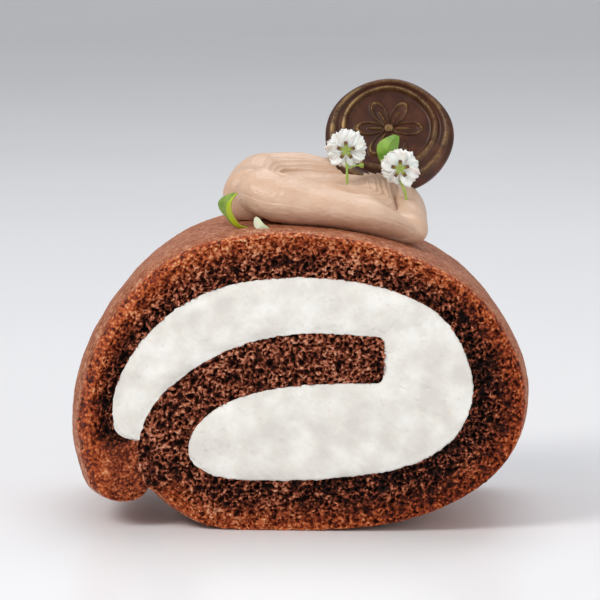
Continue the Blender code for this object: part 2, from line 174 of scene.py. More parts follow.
def facing_out(points, faces):
    """The same faces, turned round if they point inwards."""
    return faces if outward_volume(points, faces) > 0 else [block[:, ::-1] for block in faces]


# %% [markdown]
# ## Repeatable unevenness
# Food is uneven, but the same each time the script runs. Whole numbers are scrambled into a share
# from 0 to 1, and that one function drives everything uneven: smooth waves, and the round pits of an
# open crumb. All of it works on whole arrays at once.


# %% Scrambled numbers, waves and pits
def scatter(i, j, seed):
    """A share from 0 to 1 that belongs to the whole numbers i, j: multiply, mix the bits, keep 16 of them."""
    mixed = (i.astype(np.int64) * 73856093) ^ (j.astype(np.int64) * 19349663) ^ (seed * 83492791)
    mixed = (mixed ^ (mixed >> 13)) * 1274126177
    return ((mixed ^ (mixed >> 16)) & 0xFFFF) / 65535.0


def waves(x, y, size, seed):
    """Smooth hills from -1 to 1: a number at each corner of a square grid, blended by s * s * (3 - 2 * s)."""
    i, j = np.floor(x / size), np.floor(y / size)
    a, b = x / size - i, y / size - j
    a, b = a * a * (3 - 2 * a), b * b * (3 - 2 * b)
    low = scatter(i, j, seed) * (1 - a) + scatter(i + 1, j, seed) * a
    high = scatter(i, j + 1, seed) * (1 - a) + scatter(i + 1, j + 1, seed) * a
    return 2 * (low * (1 - b) + high * b) - 1


def pits(x, y, size, seed, share=1.0, smallest=0.25, largest=0.62):
    """1 at the bottom of a pit, 0 on the walls. Each square holds one bent oval of its own width and
    direction, at a random place: 1 - (distance / radius) squared, and the deepest pit counts."""
    deepest = np.zeros_like(x)
    for step_x in (-1, 0, 1):
        for step_y in (-1, 0, 1):
            i, j = np.floor(x / size) + step_x, np.floor(y / size) + step_y
            off_x = x - (i + scatter(i, j, seed)) * size
            off_y = y - (j + scatter(i, j, seed + 1)) * size
            radius = size * (smallest + (largest - smallest) * scatter(i, j, seed + 2))
            turn = math.pi * scatter(i, j, seed + 3)
            stretch = 1 + 0.9 * scatter(i, j, seed + 4)
            along = (off_x * np.cos(turn) + off_y * np.sin(turn)) / stretch
            across = off_y * np.cos(turn) - off_x * np.sin(turn)
            there = scatter(i, j, seed + 5) < share
            deepest = np.maximum(deepest, there * (1 - (along ** 2 + across ** 2) / radius ** 2))
    return deepest


def ease(t):
    """0 to 1 without corners: t * t * (3 - 2 * t), held at both ends."""
    t = np.clip(t, 0, 1)
    return t * t * (3 - 2 * t)


def around(directions, stops):
    """A smooth closed course through (degrees, value) stops, read at directions in degrees."""
    angles = np.array([s[0] for s in stops] + [stops[0][0] + 360.0])
    values = np.array([s[1] for s in stops] + [stops[0][1]])
    wrapped = (directions - angles[0]) % 360.0 + angles[0]
    low = np.clip(np.searchsorted(angles, wrapped, side="right") - 1, 0, len(stops) - 1)
    share = ease((wrapped - angles[low]) / (angles[low + 1] - angles[low]))
    return values[low] + (values[low + 1] - values[low]) * share


def bump_at(directions, centre, width):
    """1 at one direction and 0 a few widths away: e to the power -(difference / width) squared."""
    off = (directions - centre + 180.0) % 360.0 - 180.0
    return np.exp(-(off / width) ** 2)


def natural_cubic(knots, values, at):
    """The natural cubic spline: between knots a cubic, with the bend running on evenly through each."""
    count, steps = len(knots), np.diff(knots)
    matrix, right = np.eye(count), np.zeros((count,) + values.shape[1:])
    for i in range(1, count - 1):
        matrix[i, i - 1:i + 2] = (steps[i - 1], 2 * (steps[i - 1] + steps[i]), steps[i])
        right[i] = 6 * ((values[i + 1] - values[i]) / steps[i] - (values[i] - values[i - 1]) / steps[i - 1])
    bend = np.linalg.solve(matrix, right)
    low = np.clip(np.searchsorted(knots, at) - 1, 0, count - 2)
    step = steps[low][:, None]
    a = (knots[low + 1] - at)[:, None] / step
    b = (at - knots[low])[:, None] / step
    return (a * values[low] + b * values[low + 1]
            + ((a ** 3 - a) * bend[low] + (b ** 3 - b) * bend[low + 1]) * step ** 2 / 6)


# %% [markdown]
# ## The rolled sheet
# A swiss roll is one flat sponge, spread with cream and rolled up. So the shape that matters is a
# single line, the middle of the sheet, with the sheet's thickness along it. It is the same line that
# the solids were made from. Its two sides lie half a thickness off it, at right angles.

# %% The middle of the sheet and its two sides
ROLL_LENGTH = 50.0
HALF_LENGTH = ROLL_LENGTH / 2
CLEARANCE = 0.3
SEAM_TOP, SEAM_FOOT = 18.3, 9.0     # heights between which the loose end lies on the first turn
TONGUE_NOSE = 2.9                   # how far the squared inner end reaches past the line
RIM_DEPTH = 8.0
SQUARED = 4.5                       # power of the squared oval at the inner end
BELLY, TAPER, TAPER_SIDE = 1.6, 3.4, (0.82, 0.57)
RIM_BY_DIRECTION = ((0, 1.6), (45, 1.2), (90, 1.2), (135, 3.2), (180, 3.8), (225, 2.4), (270, 0.5), (330, 0.5))

# x, z and thickness, from the inner end outwards
SHEET_ROUTE = np.array((
    (14.2, 35.0, 9.9), (-2.0, 34.7, 10.9), (-13.0, 32.0, 10.3), (-21.5, 27.1, 9.6), (-26.7, 20.6, 10.2),
    (-27.0, 12.6, 10.8), (-21.3, 6.9, 11.2), (-10.0, 5.1, 10.7), (4.0, 5.3, 11.0), (17.0, 6.8, 11.2),
    (29.3, 11.2, 11.0), (37.5, 18.8, 11.6), (40.2, 29.0, 11.4), (37.4, 38.6, 10.0), (31.5, 46.5, 8.8),
    (21.5, 52.3, 8.5), (8.0, 55.6, 9.3), (-7.0, 55.9, 9.9), (-19.8, 53.3, 10.3), (-30.3, 46.6, 9.6),
    (-38.0, 36.7, 8.5), (-41.8, 25.6, 8.2), (-41.2, 17.0, 9.4), (-39.6, 11.4, 9.8)))

knots = np.concatenate([[0], np.cumsum(np.hypot(*np.diff(SHEET_ROUTE[:, :2], axis=0).T))])
fine_line = natural_cubic(knots, SHEET_ROUTE, np.linspace(0, knots[-1], 3000))
RUN = np.concatenate([[0], np.cumsum(np.hypot(*np.diff(fine_line[:, :2], axis=0).T))])
SHEET_LENGTH = RUN[-1]
MIDDLE, HALF = fine_line[:, :2], fine_line[:, 2] / 2
ALONG = np.gradient(MIDDLE, axis=0)
ALONG /= np.linalg.norm(ALONG, axis=1)[:, None]
OUT = np.stack([ALONG[:, 1], -ALONG[:, 0]], axis=1)


def read_line(places, table):
    return np.stack([np.interp(places, RUN, column) for column in table.T], axis=1)


def side(places, sign, extra=0.0):
    """The skin side (+1) or the cream side (-1): middle + sign * normal * (half thickness + extra)."""
    half = np.interp(places, RUN, HALF) + extra
    return read_line(places, MIDDLE) + sign * read_line(places, OUT) * half[:, None]


def place_at_height(height, sign, low, high):
    """The place, between two shares of the length, where a side comes down to a height."""
    places = np.linspace(low, high, 400) * SHEET_LENGTH
    return float(np.interp(-height, -side(places, sign)[:, 1], places))


def squared_end(phi, extra=0.0):
    """The inner end as a squared oval: cos and sin of phi, each to the power 2 / SQUARED."""
    power = 2 / SQUARED
    ahead = (TONGUE_NOSE + extra) * np.abs(np.cos(phi)) ** power
    across = (HALF[0] + extra) * np.sign(np.sin(phi)) * np.abs(np.sin(phi)) ** power
    return MIDDLE[0] - ALONG[0] * ahead[:, None] + OUT[0] * across[:, None]


def bezier(start, first, second, end, t):
    """s^3 start + 3 s^2 t first + 3 s t^2 second + t^3 end, with s = 1 - t."""
    t = t[:, None]
    s = 1 - t
    return s ** 3 * start + 3 * s * s * t * first + 3 * s * t * t * second + t ** 3 * end


seam_top = place_at_height(SEAM_TOP, +1, 0.12, 0.26)
seam_foot = place_at_height(SEAM_FOOT, +1, 0.12, 0.26)
cream_tip = place_at_height(SEAM_TOP + CLEARANCE, -1, 0.86, 0.99)
cream_places = np.linspace(0, cream_tip, 500)
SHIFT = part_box("cream_filling")[0].x / MM - side(cream_places, -1, CLEARANCE)[:, 0].min()
print("sheet", round(SHEET_LENGTH), "mm long; the frame lies", round(SHIFT, 2), "mm along X from the line")

# %% [markdown]
# ## Carrying a loop along two sides
# The sponge and the cream are both bands: two lines across the cut face, the length of the roll
# between the two cuts. For each station along the band a closed loop of points runs over the front
# cut, back along one side, over the back cut, and forward along the other side. Loops joined by quads
# make one closed solid, with the cut faces fine enough to hold real holes.

# %% The band solid
FRONT, SIDE_A, BACK, SIDE_B = range(4)


def outline_normals(a, b):
    """Unit normals of both lines, pointing away from the other line."""
    result = []
    for line, other in ((a, b), (b, a)):
        run = np.gradient(line, axis=0)
        normal = np.stack([run[:, 1], -run[:, 0]], axis=1)
        normal /= np.maximum(np.linalg.norm(normal, axis=1), 1e-9)[:, None]
        inward = np.einsum("ij,ij->i", normal, other - line) > 0
        result.append(np.where(inward[:, None], -normal, normal))
    return result


def rounded_in(depth, rim):
    """How far a rounded rim draws in at a depth from the cut: rim * (1 - sqrt(1 - (1 - depth / D)^2))."""
    near = np.clip(1 - depth / RIM_DEPTH, 0, 1)
    return rim * (1 - np.sqrt(1 - near ** 2))


def band(a, b, rim_a, rim_b, walk):
    """Points (stations, loop, 3) for a walk round the band, with each point's share across, depth and part.
    A walk lists its parts in order: a count of rows for FRONT or BACK, depths for SIDE_A or SIDE_B."""
    out_a, out_b = outline_normals(a, b)
    end_a, end_b = a - out_a * rim_a[:, None], b - out_b * rim_b[:, None]
    blocks, shares, depths, parts = [], [], [], []
    for part, steps in walk:
        if part in (FRONT, BACK):
            share = np.linspace(0, 1, steps) if part == FRONT else np.linspace(1, 0, steps)
            deep = np.full(steps, 0.0 if part == FRONT else ROLL_LENGTH)
            block = end_b[:, None] + (end_a - end_b)[:, None] * share[None, :, None]
        else:
            line, out, rim = (a, out_a, rim_a) if part == SIDE_A else (b, out_b, rim_b)
            deep = np.array(steps, float)
            share = np.full(len(deep), 1.0 if part == SIDE_A else 0.0)
            drawn_in = rounded_in(np.minimum(deep, ROLL_LENGTH - deep)[None], rim[:, None])
            block = line[:, None] - out[:, None] * drawn_in[..., None]
        for store, value in ((blocks, block), (shares, share), (depths, deep), (parts, np.full(len(deep), part))):
            store.append(value)
    flat = np.concatenate(blocks, axis=1)
    share, depth, part = (np.concatenate(q) for q in (shares, depths, parts))
    points = np.stack([flat[..., 0], np.broadcast_to(depth - HALF_LENGTH, flat.shape[:2]), flat[..., 1]], axis=-1)
    return points, share, depth, part, out_a


def band_faces(points, closed):
    """Quads along the band and one face at each end, all turned away from the middle of their own loop."""
    stations, loop = points.shape[:2]
    quads = grid_faces(stations, loop, wrap=closed)
    flat = points.reshape(-1, 3)
    inside = np.repeat(points.mean(axis=1)[:-1], len(quads) // (stations - 1), axis=0)
    a, b, c, d = (flat[quads[:, k]] for k in range(4))
    away = np.einsum("ij,ij->", np.cross(c - a, d - b), (a + b + c + d) / 4 - inside)
    first = np.arange(loop)
    faces = [quads, first[None, ::-1], (first + (stations - 1) * loop)[None]]
    return faces if away > 0 else [block[:, ::-1] for block in faces]


# %% [markdown]
# ## The sponge
# Sponge is a foam that set in the oven: thousands of bubbles, most of them under a millimetre and a
# half, cut open by the knife. The holes are real here, pressed into the cut face by three sizes of
# pits, with small grains on the walls between them. Towards the baked skin the crumb gets finer and
# more orange. The skin itself is closed, and just behind the cut it is beaded with burst bubbles.
# The near cut needs a much finer grid than the rest, so it is a piece of its own that ends 4 mm deep.

# %% Stations along the sponge
TIP_ROUNDING = 2.4
tip_start = cream_tip - TIP_ROUNDING
tip_corner = side(np.array([cream_tip]), -1)[0]
tip_ends = side(np.array([tip_start]), -1)[0], side(np.array([seam_top]), +1, 0.1)[0]


def tip_curve(t):
    """The rounded end of the cream's space: (1 - t)^2 start + 2 t (1 - t) corner + t^2 end."""
    t = t[:, None]
    return (1 - t) ** 2 * tip_ends[0] + 2 * t * (1 - t) * tip_corner + t * t * tip_ends[1]


def even(path, count):
    """'count' points evenly spaced along a path, its first point left out."""
    run = np.concatenate([[0], np.cumsum(np.hypot(*np.diff(path, axis=0).T))])
    return np.stack([np.interp(np.linspace(0, run[-1], count + 1)[1:], run, column) for column in path.T], axis=1)


def sponge_lines(step):
    """Both lines of the sponge: the squared inner end, the long run, the flap, and half the loose end each."""
    ahead = 0.998 * np.sin(np.linspace(1, 0.04, int(4.5 / step)) * math.pi / 2)
    phi = np.arccos(ahead ** (SQUARED / 2))         # so that the stations are even along the sheet
    main = np.arange(0, tip_start, step)
    late = np.linspace(tip_start, SHEET_LENGTH, int((SHEET_LENGTH - tip_start) / step))[1:]
    contact = side(np.linspace(seam_top, seam_foot, 60), +1, 0.1)
    skin_end = side(np.array([SHEET_LENGTH - 0.2, SHEET_LENGTH]), +1)
    down = (skin_end[1] - skin_end[0]) / np.linalg.norm(skin_end[1] - skin_end[0])
    onward = (contact[-1] - contact[-2]) / np.linalg.norm(contact[-1] - contact[-2])
    half = int(8.0 / step)
    loose = bezier(skin_end[1], skin_end[1] + down * 7.4, contact[-1] + onward * 4.8, contact[-1],
                   np.linspace(0, 1, 2 * half + 1))
    seam = even(np.concatenate([tip_curve(np.linspace(0, 1, 30)), contact[1:]]), len(late))
    line_a = np.concatenate([squared_end(phi), side(main, +1), side(late, +1), loose[1:half]])
    line_b = np.concatenate([squared_end(-phi), side(main, -1), seam, loose[2 * half - 1:half:-1]])
    place = np.concatenate([np.zeros(len(phi)), main, late, SHEET_LENGTH + np.linspace(0.3, 8, half - 1)])
    return line_a, line_b, place, half - 1


# %% Holes in the cuts, beads and dents in the skin
HOLE_DEPTH = 1.7
# how much darker the crumb is along the sheet, whose whole length counts as 360: partly uneven baking, partly painted
# shade, the most on the right side of the roll, against the fill light there
BAKE_AND_PAINTED_SHADE = ((0, -0.10), (70, -0.06), (110, 0.02), (150, 0.21), (200, 0.20), (235, -0.05), (290, -0.05), (325, 0.10),
         (350, 0.14))
SUNK = 0.3                          # how deep the cut edge lies where cream covers it


def crumb_holes(x, z, seed):
    """Large, middling and small bubbles, the places first bent by waves so that no hole is a true oval."""
    bent_x = x + 0.30 * waves(x, z, 1.1, seed) + 0.16 * waves(x, z, 0.45, seed + 1)
    bent_z = z + 0.30 * waves(z, x, 1.1, seed + 2) + 0.16 * waves(z, x, 0.45, seed + 3)
    large = pits(bent_x, bent_z, 2.2, seed + 4, share=0.50, smallest=0.18, largest=0.36)
    middling = pits(bent_x, bent_z, 1.05, seed + 10, share=0.8, smallest=0.22, largest=0.48)
    small = pits(bent_x, bent_z, 0.62, seed + 20, share=0.85, smallest=0.28, largest=0.55)
    return np.maximum(0.95 * large, np.maximum(0.80 * middling, 0.55 * small))


def shape_sponge(step, walk):
    """The sponge's points for a walk, with marks for the finish: painted shade with bake, crust, skin, wet, along and
    deep.
    """
    line_a, line_b, place, loose = sponge_lines(step)
    outside = ease((place - seam_foot) / 3.0)[:, None]
    normal = outline_normals(line_a, line_b)[0]
    rim = around(np.degrees(np.arctan2(normal[:, 1], normal[:, 0])) % 360, RIM_BY_DIRECTION) * outside[:, 0]
    rim_b = np.zeros(len(place))
    rim_b[-loose:] = rim[-1] * np.linspace(0, 1, loose) ** 0.6
    points, share, depth, part, out = band(line_a, line_b, rim, rim_b, walk)
    rim, place = rim[:, None], place[:, None] + np.zeros(points.shape[:2])
    along_y = (depth - HALF_LENGTH) / HALF_LENGTH
    exposed = outside * share
    swollen = BELLY * np.clip(-out[:, :1], 0, 1) * (1 - along_y ** 2)
    fallen = TAPER * np.clip(out @ TAPER_SIDE, 0, 1)[:, None] ** 2 * ((1 + along_y) / 2) ** 1.5
    points[..., 0] += out[:, :1] * (swollen - fallen) * exposed
    points[..., 2] += out[:, 1:] * (swollen - fallen) * exposed

    x, y, z = (points[..., k].copy() for k in range(3))
    flap = ease((place - cream_tip + 2) / 5.0)
    to_edge = np.minimum(share, 1 - share) * np.linalg.norm(line_a - line_b, axis=1)[:, None]
    crust = ease((share - 0.30) / 0.70) * outside
    width = np.linalg.norm(line_a - line_b, axis=1)[:, None]
    sunk = SUNK * (ease(1 - share * width / 0.6) * (place < cream_tip)
                   + ease(1 - (1 - share) * width / 0.6) * (place < seam_top))
    holes = np.zeros(x.shape)
    for cut, seed, inward in ((FRONT, 11, 1.0), (BACK, 211, -1.0)):
        here = part == cut
        if here.any():
            px, pz = x[:, here], z[:, here]
            fine = (1 - 0.70 * flap[:, here]) * (1 - 0.45 * crust[:, here]) * ease(to_edge[:, here] / 0.3)
            holes[:, here] = fine * crumb_holes(px, pz, seed)
            grains = pits(px, pz, 0.55, seed + 50, share=0.9, smallest=0.3, largest=0.6)
            rough = (0.10 * waves(px, pz, 0.42, seed + 30) + 0.18 * waves(px, pz, 1.7, seed + 31)
                     + 0.20 * waves(px, pz, 6.0, seed + 32) - 0.30 * grains)
            points[:, here, 1] += inward * (HOLE_DEPTH * holes[:, here] + rough * ease(to_edge[:, here] / 0.4)
                                            + sunk[:, here])

    edge = np.minimum(depth, ROLL_LENGTH - depth) + np.zeros(x.shape)
    side_here = (part == SIDE_A) * outside
    beaded = np.exp(-((edge - 0.5 - 0.36 * rim) / (0.5 + 0.26 * rim)) ** 2) * (0.3 + 0.7 * rim / 3.8) * side_here
    beads = pits(place, edge * 1.6, 1.1, 601, share=0.75, smallest=0.2, largest=0.5) * beaded
    burst = pits(place, edge, 0.8, 620, share=0.8) * ease(1 - (edge - 0.2) / (0.6 + 0.5 * rim)) * side_here
    dents = (0.16 * waves(place, y, 11.0, 81) + 0.10 * waves(place, y, 3.1, 82)
             + 0.05 * waves(place * 2.0, y * 0.7, 0.9, 83) * side_here) * outside * share ** 3
    ragged = (0.18 * waves(x, z, 1.1, 71) + 0.12 * waves(x, z, 0.5, 72)) * ease(1 - to_edge / 0.9)
    ragged = ragged * ((part == FRONT) | (part == BACK)) * np.sign(share - 0.5)
    moved = dents + ragged - (0.50 * beads + 0.30 * burst) * ease(edge / 0.35)
    points[..., 0] += out[:, :1] * moved
    points[..., 2] = np.maximum(points[..., 2] + out[:, 1:] * moved, 0.0)

    closed_skin = ease((edge - 0.45 - 0.34 * rim - 0.4 * waves(place, edge, 1.1, 640)) / 0.7) * side_here
    # painted shade along the sheet, with some uneven baking: darkest on the right side of the roll, against the fill
    # light
    bake_and_painted_shade = around(np.minimum(place * 360 / SHEET_LENGTH, 350), BAKE_AND_PAINTED_SHADE)
    # the mark that darkens the crumb: painted shade inside the holes, beads and burst bubbles, plus the tone along the
    # sheet
    marks = {"painted_shade_and_bake": holes + bake_and_painted_shade + 0.8 * beads + 0.5 * burst, "crust": np.maximum(crust, 0.55 * flap),
             "skin": closed_skin, "wet": beaded, "along": place, "deep": depth + 0 * x}
    return points, {key: value.ravel() for key, value in marks.items()}


# %% [markdown]
# ## The sponge's finish
# Baked cocoa sponge: the colour of milk chocolate where the light catches a bubble's wall, and painted nearly
# black inside each bubble as shade, on top of its real depth; faintly moist, so the grains glint. What is finer
# than the mesh, the walls' own tiny bubbles, is colour and bump. The crumb is also painted darker along the right
# side of the roll, painted shade that holds back the fill light there, together with some uneven baking. The skin
# is where the batter lay against the paper: closed, lighter, streaked along the sheet, with a slight sheen from sugar.

# %% Cocoa sponge, baked
sponge_finish, tree, shader, place_node = new_material("cocoa_sponge_baked", 0.6, Specular_IOR_Level=0.22)
marked = {key: add(tree, "ShaderNodeAttribute", attribute_name=key).outputs["Fac"]
          for key in ("painted_shade_and_bake", "crust", "skin", "wet", "along", "deep")}
# bubbles of about 0.5 mm in the walls, grains of 0.6 mm, and patches of 3 mm where the batter was denser
grain = noise(tree, place_node, 1700.0, 5.0, 0.72)
patches = noise(tree, place_node, 420.0, 3.0)
bent = add(tree, "ShaderNodeVectorMath", {0: grain.outputs["Color"], 1: (0.0005, 0.0005, 0.0005), 2: place_node},
           operation="MULTIPLY_ADD")
cells = add(tree, "ShaderNodeTexVoronoi", {"Vector": bent.outputs[0], "Scale": 1600.0})
tone = add(tree, "ShaderNodeMath", {0: grain.outputs["Fac"], 1: 0.78, 2: 0.16}, operation="MULTIPLY_ADD")
# the holes' mark darkens the crumb: painted shade in the pits and beads, plus painted shade and uneven baking along
# the sheet
for source, weight in ((patches.outputs["Fac"], 0.58), (cells.outputs["Distance"], -0.40), (marked["painted_shade_and_bake"], -0.52)):
    tone = add(tree, "ShaderNodeMath", {0: source, 1: weight, 2: tone.outputs[0]}, operation="MULTIPLY_ADD")
heart = add(tree, "ShaderNodeValToRGB", {"Fac": tone.outputs[0]},
            stops=((0.22, "#120402"), (0.42, "#42180b"), (0.55, "#853f28"), (0.68, "#b86a4a"), (0.82, "#e2a98c")))
edge = add(tree, "ShaderNodeValToRGB", {"Fac": tone.outputs[0]},
           stops=((0.20, "#2c0a04"), (0.40, "#70260c"), (0.53, "#a8481e"), (0.66, "#c86a38"), (0.82, "#e8ad80")))
crumb = add(tree, "ShaderNodeMix", {0: marked["crust"], 6: heart.outputs[0], 7: edge.outputs[0]}, data_type="RGBA")
speckle = noise(tree, place_node, 1300.0, 5.0, 0.75)
sheet_x = add(tree, "ShaderNodeMath", {0: marked["along"], 1: 0.13}, operation="MULTIPLY")
sheet_y = add(tree, "ShaderNodeMath", {0: marked["deep"], 1: 1.2}, operation="MULTIPLY")
sheet = add(tree, "ShaderNodeCombineXYZ", {0: sheet_x.outputs[0], 1: sheet_y.outputs[0]})
streaks = noise(tree, sheet.outputs[0], 1.0, 4.0, 0.6)
worn = add(tree, "ShaderNodeMath", {0: speckle.outputs["Fac"], 1: 0.75}, operation="MULTIPLY")
for source, weight in ((patches, 0.25), (streaks, 0.20)):
    worn = add(tree, "ShaderNodeMath", {0: source.outputs["Fac"], 1: weight, 2: worn.outputs[0]},
               operation="MULTIPLY_ADD")
skin_colour = add(tree, "ShaderNodeValToRGB", {"Fac": worn.outputs[0]},
                  stops=((0.42, "#5a2410"), (0.54, "#8e4e33"), (0.63, "#aa6b4c"), (0.78, "#d6ab90")))
surface = add(tree, "ShaderNodeMix", {0: marked["skin"], 6: crumb.outputs[2], 7: skin_colour.outputs[0]},
              data_type="RGBA")
tree.links.new(surface.outputs[2], shader.inputs["Base Color"])
fine = add(tree, "ShaderNodeBump", {"Height": tone.outputs[0], "Strength": 0.85, "Distance": 0.0005})
wrinkles = add(tree, "ShaderNodeBump", {"Height": worn.outputs[0], "Strength": 0.5, "Distance": 0.0003})
normals = add(tree, "ShaderNodeMix", {0: marked["skin"], 4: fine.outputs[0], 5: wrinkles.outputs[0]},
              data_type="VECTOR")
tree.links.new(normals.outputs[1], shader.inputs["Normal"])
gloss = add(tree, "ShaderNodeMapRange", {"Value": marked["wet"], "To Min": 0.62, "To Max": 0.36})
tree.links.new(gloss.outputs[0], shader.inputs["Roughness"])

# %% The near cut, then the rest of the roll
CAP_DEPTH = 4.0
cap_walk = ((SIDE_B, (CAP_DEPTH, 1.2)), (FRONT, 54), (SIDE_A, np.arange(0.25, CAP_DEPTH + 0.01, 0.25)))
rest_depths = np.concatenate([(CAP_DEPTH, 5.0, 6.4, 8.0), np.linspace(10, 40, 18),
                              ROLL_LENGTH - np.array((8.0, 6.4, 5.0, 4.0, 3.2, 2.4, 1.7, 1.1, 0.65, 0.3, 0.12))])
rest_walk = ((SIDE_A, rest_depths), (BACK, 34),
             (SIDE_B, (ROLL_LENGTH - 0.2, ROLL_LENGTH - CAP_DEPTH, 25.0, CAP_DEPTH)))
for name, step, walk, node in (("sponge_near_cut", 0.24, cap_walk, None), ("sponge_roll", 0.36, rest_walk, "sponge")):
    points, marks = shape_sponge(step, walk)
    new_piece(name, points.reshape(-1, 3), band_faces(points, closed=False), sponge_finish, node,
              marks)

# %% The roll's roof, which the topping lies on
roof_depths = np.array((0.25, 1, 2, 3, 5, 8, 12, 17, 22, 27, 32, 38, 44, 49.75))
skin_points, marks = shape_sponge(0.8, ((SIDE_A, roof_depths),))
roof_place = marks["along"].reshape(skin_points.shape[:2])[:, 0]
over = (roof_place > 0.6 * SHEET_LENGTH) & (roof_place < 0.92 * SHEET_LENGTH)
roof_x = np.linspace(-30, 34, 129)
roof_table = np.array([np.interp(roof_x, row[over][::-1, 0], row[over][::-1, 2])
                       for row in skin_points.transpose(1, 0, 2)])


def roof(x, y):
    """Height of the roll's top over a place: the table's four nearest values, blended."""
    x, y = np.broadcast_arrays(np.asarray(x, float), np.asarray(y, float))
    row = np.clip(np.interp(y + HALF_LENGTH, roof_depths, np.arange(len(roof_depths))), 0, len(roof_depths) - 1.001)
    column = np.clip(np.interp(x, roof_x, np.arange(len(roof_x))), 0, len(roof_x) - 1.001)
    i, j = row.astype(int), column.astype(int)
    a, b = row - i, column - j
    return ((1 - a) * ((1 - b) * roof_table[i, j] + b * roof_table[i, j + 1])
            + a * ((1 - b) * roof_table[i + 1, j] + b * roof_table[i + 1, j + 1]))


print("roof over the middle:", np.round(roof(0, 0), 2))

# %% [markdown]
# ## The white cream
# Whipped cream is another foam, far finer. It fills all that the sheet leaves free, so its two sides
# are the sheet's own sides: the outer turn's inside, and the way round the tongue. Pairs of places
# that face each other tie the two lines together. It reaches a hair into the sponge, so no gap shows.

# %% Two lines that face each other across the cream
inside_x = side(np.linspace(0, SHEET_LENGTH, 2000), -1)[:, 0]
all_places = np.linspace(0, SHEET_LENGTH, 2000)


def place_at_x(x, low, high):
    """The place between two shares of the length whose cream side has this x."""
    chosen = (all_places > low * SHEET_LENGTH) & (all_places < high * SHEET_LENGTH)
    order = np.argsort(inside_x[chosen])
    return float(np.interp(x, inside_x[chosen][order], all_places[chosen][order]))


above_end = place_at_x(20.0, 0.58, 0.75)
outer_turn = all_places > 0.3 * SHEET_LENGTH
far_right = float(all_places[outer_turn][np.argmax(inside_x[outer_turn])])
below_end = place_at_x(17.0, 0.25, 0.45)
pocket_zone = (all_places > 0.1 * SHEET_LENGTH) & (all_places < 0.35 * SHEET_LENGTH)
pocket = float(all_places[pocket_zone][np.argmin(inside_x[pocket_zone])])

BITE = 0.20                                    # how far the cream reaches into the sponge
STEP = 0.45
TIP_COUNT = 13
turns = ((tip_start, above_end), (above_end, far_right), (far_right, below_end), (below_end, pocket + 0.6))
counts = [int(abs(b - a) / STEP) for a, b in turns]
right_angle = math.pi / 2
outer = np.concatenate([tip_curve(np.linspace(0.98, 0, TIP_COUNT, endpoint=False))]
                       + [side(np.linspace(a, b, n, endpoint=False), -1) for (a, b), n in zip(turns, counts)])
inner = np.concatenate([
    side(np.linspace(seam_top, seam_top - TIP_ROUNDING, TIP_COUNT, endpoint=False), +1),
    side(np.linspace(seam_top - TIP_ROUNDING, 0, counts[0], endpoint=False), +1),
    squared_end(np.linspace(right_angle, 0.0, counts[1], endpoint=False)),
    squared_end(np.linspace(0.0, -right_angle, counts[2], endpoint=False)),
    side(np.linspace(0, pocket - 0.6, counts[3], endpoint=False), -1)])
away_outer, away_inner = outline_normals(outer, inner)
outer, inner = outer + BITE * away_outer, inner + BITE * away_inner
print(len(outer), "stations along the cream")

# %% The cream's faces, smeared by the knife
nothing = np.zeros(len(outer))
points, share_across, depth, part, _ = band(outer, inner, nothing, nothing, (
    (FRONT, 44), (SIDE_A, (0.6, 25.0, 49.4)), (BACK, 26), (SIDE_B, (49.4, 25.0, 0.6))))
x, z = points[..., 0], points[..., 2]
on_cut = (part == FRONT) | (part == BACK)
width = np.linalg.norm(outer - inner, axis=1)[:, None]
to_edge = np.minimum(share_across, 1 - share_across)[None] * width
smear = waves(x * 0.35 + z * 0.9, x * 0.9 - z * 0.35, 2.6, 301)
bubbles = np.maximum(pits(x, z, 3.1, 310, share=0.4, smallest=0.05, largest=0.12),
                     pits(x, z, 1.3, 320, share=0.10, smallest=0.12, largest=0.22))
face = (0.28 * waves(x, z, 9.0, 302) + 0.16 * waves(x + 0.6 * z, z - 0.6 * x, 3.2, 303) + 0.07 * smear
        + 0.06 * waves(x, z, 0.9, 304) - 0.25 * bubbles)
crown = 0.30 * ease(to_edge / 2.5) - 0.10
points[..., 1] += np.where(part == FRONT, -1.0, 1.0)[None] * on_cut * (crown + face * ease(to_edge / 1.2))
lean = (outer - inner) / width
ragged = (0.15 * waves(x, z, 1.1, 305) + 0.16 * waves(x, z, 0.5, 306)) * on_cut * ease(1 - to_edge / 1.0)
points[..., 0] += lean[:, :1] * ragged * np.sign(share_across - 0.5)
points[..., 2] += lean[:, 1:] * ragged * np.sign(share_across - 0.5)
cream_points = points.reshape(-1, 3)
cream_faces = band_faces(points, closed=True)

# %% [markdown]
# Whipped cream scatters light under its surface, so it looks soft and never quite white in shadow.
# Its colour is a warm white, with faint warm flecks where crumbs stained it, and a satin surface.

# %% Whipped cream, cut
cream_finish, tree, shader, place_node = new_material("whipped_cream_cut", 0.5, Subsurface_Weight=0.12, Subsurface_Scale=0.002,
                                          Specular_IOR_Level=0.35)
shader.inputs["Subsurface Radius"].default_value = (1.0, 0.85, 0.7)
cloud = noise(tree, place_node, 210.0, 5.0)
white = add(tree, "ShaderNodeValToRGB", {"Fac": cloud.outputs["Fac"]},
            stops=((0.33, "#d9d6d0"), (0.5, "#e3e1db"), (0.66, "#eeede9")))
fleck = add(tree, "ShaderNodeTexVoronoi", {"Vector": place_node, "Scale": 420.0, "Randomness": 1.0})
stain = add(tree, "ShaderNodeValToRGB", {"Fac": fleck.outputs["Distance"]}, stops=((0.05, 0.55), (0.13, 0.0)))
stained = add(tree, "ShaderNodeMix", {0: stain.outputs[0], 6: white.outputs[0], 7: linear("#e2cdb4")},
              data_type="RGBA")
tree.links.new(stained.outputs[2], shader.inputs["Base Color"])
foam = noise(tree, place_node, 1300.0, 3.0, 0.6)
bump = relief(tree, shader, foam.outputs["Fac"], 0.35, 0.0003)
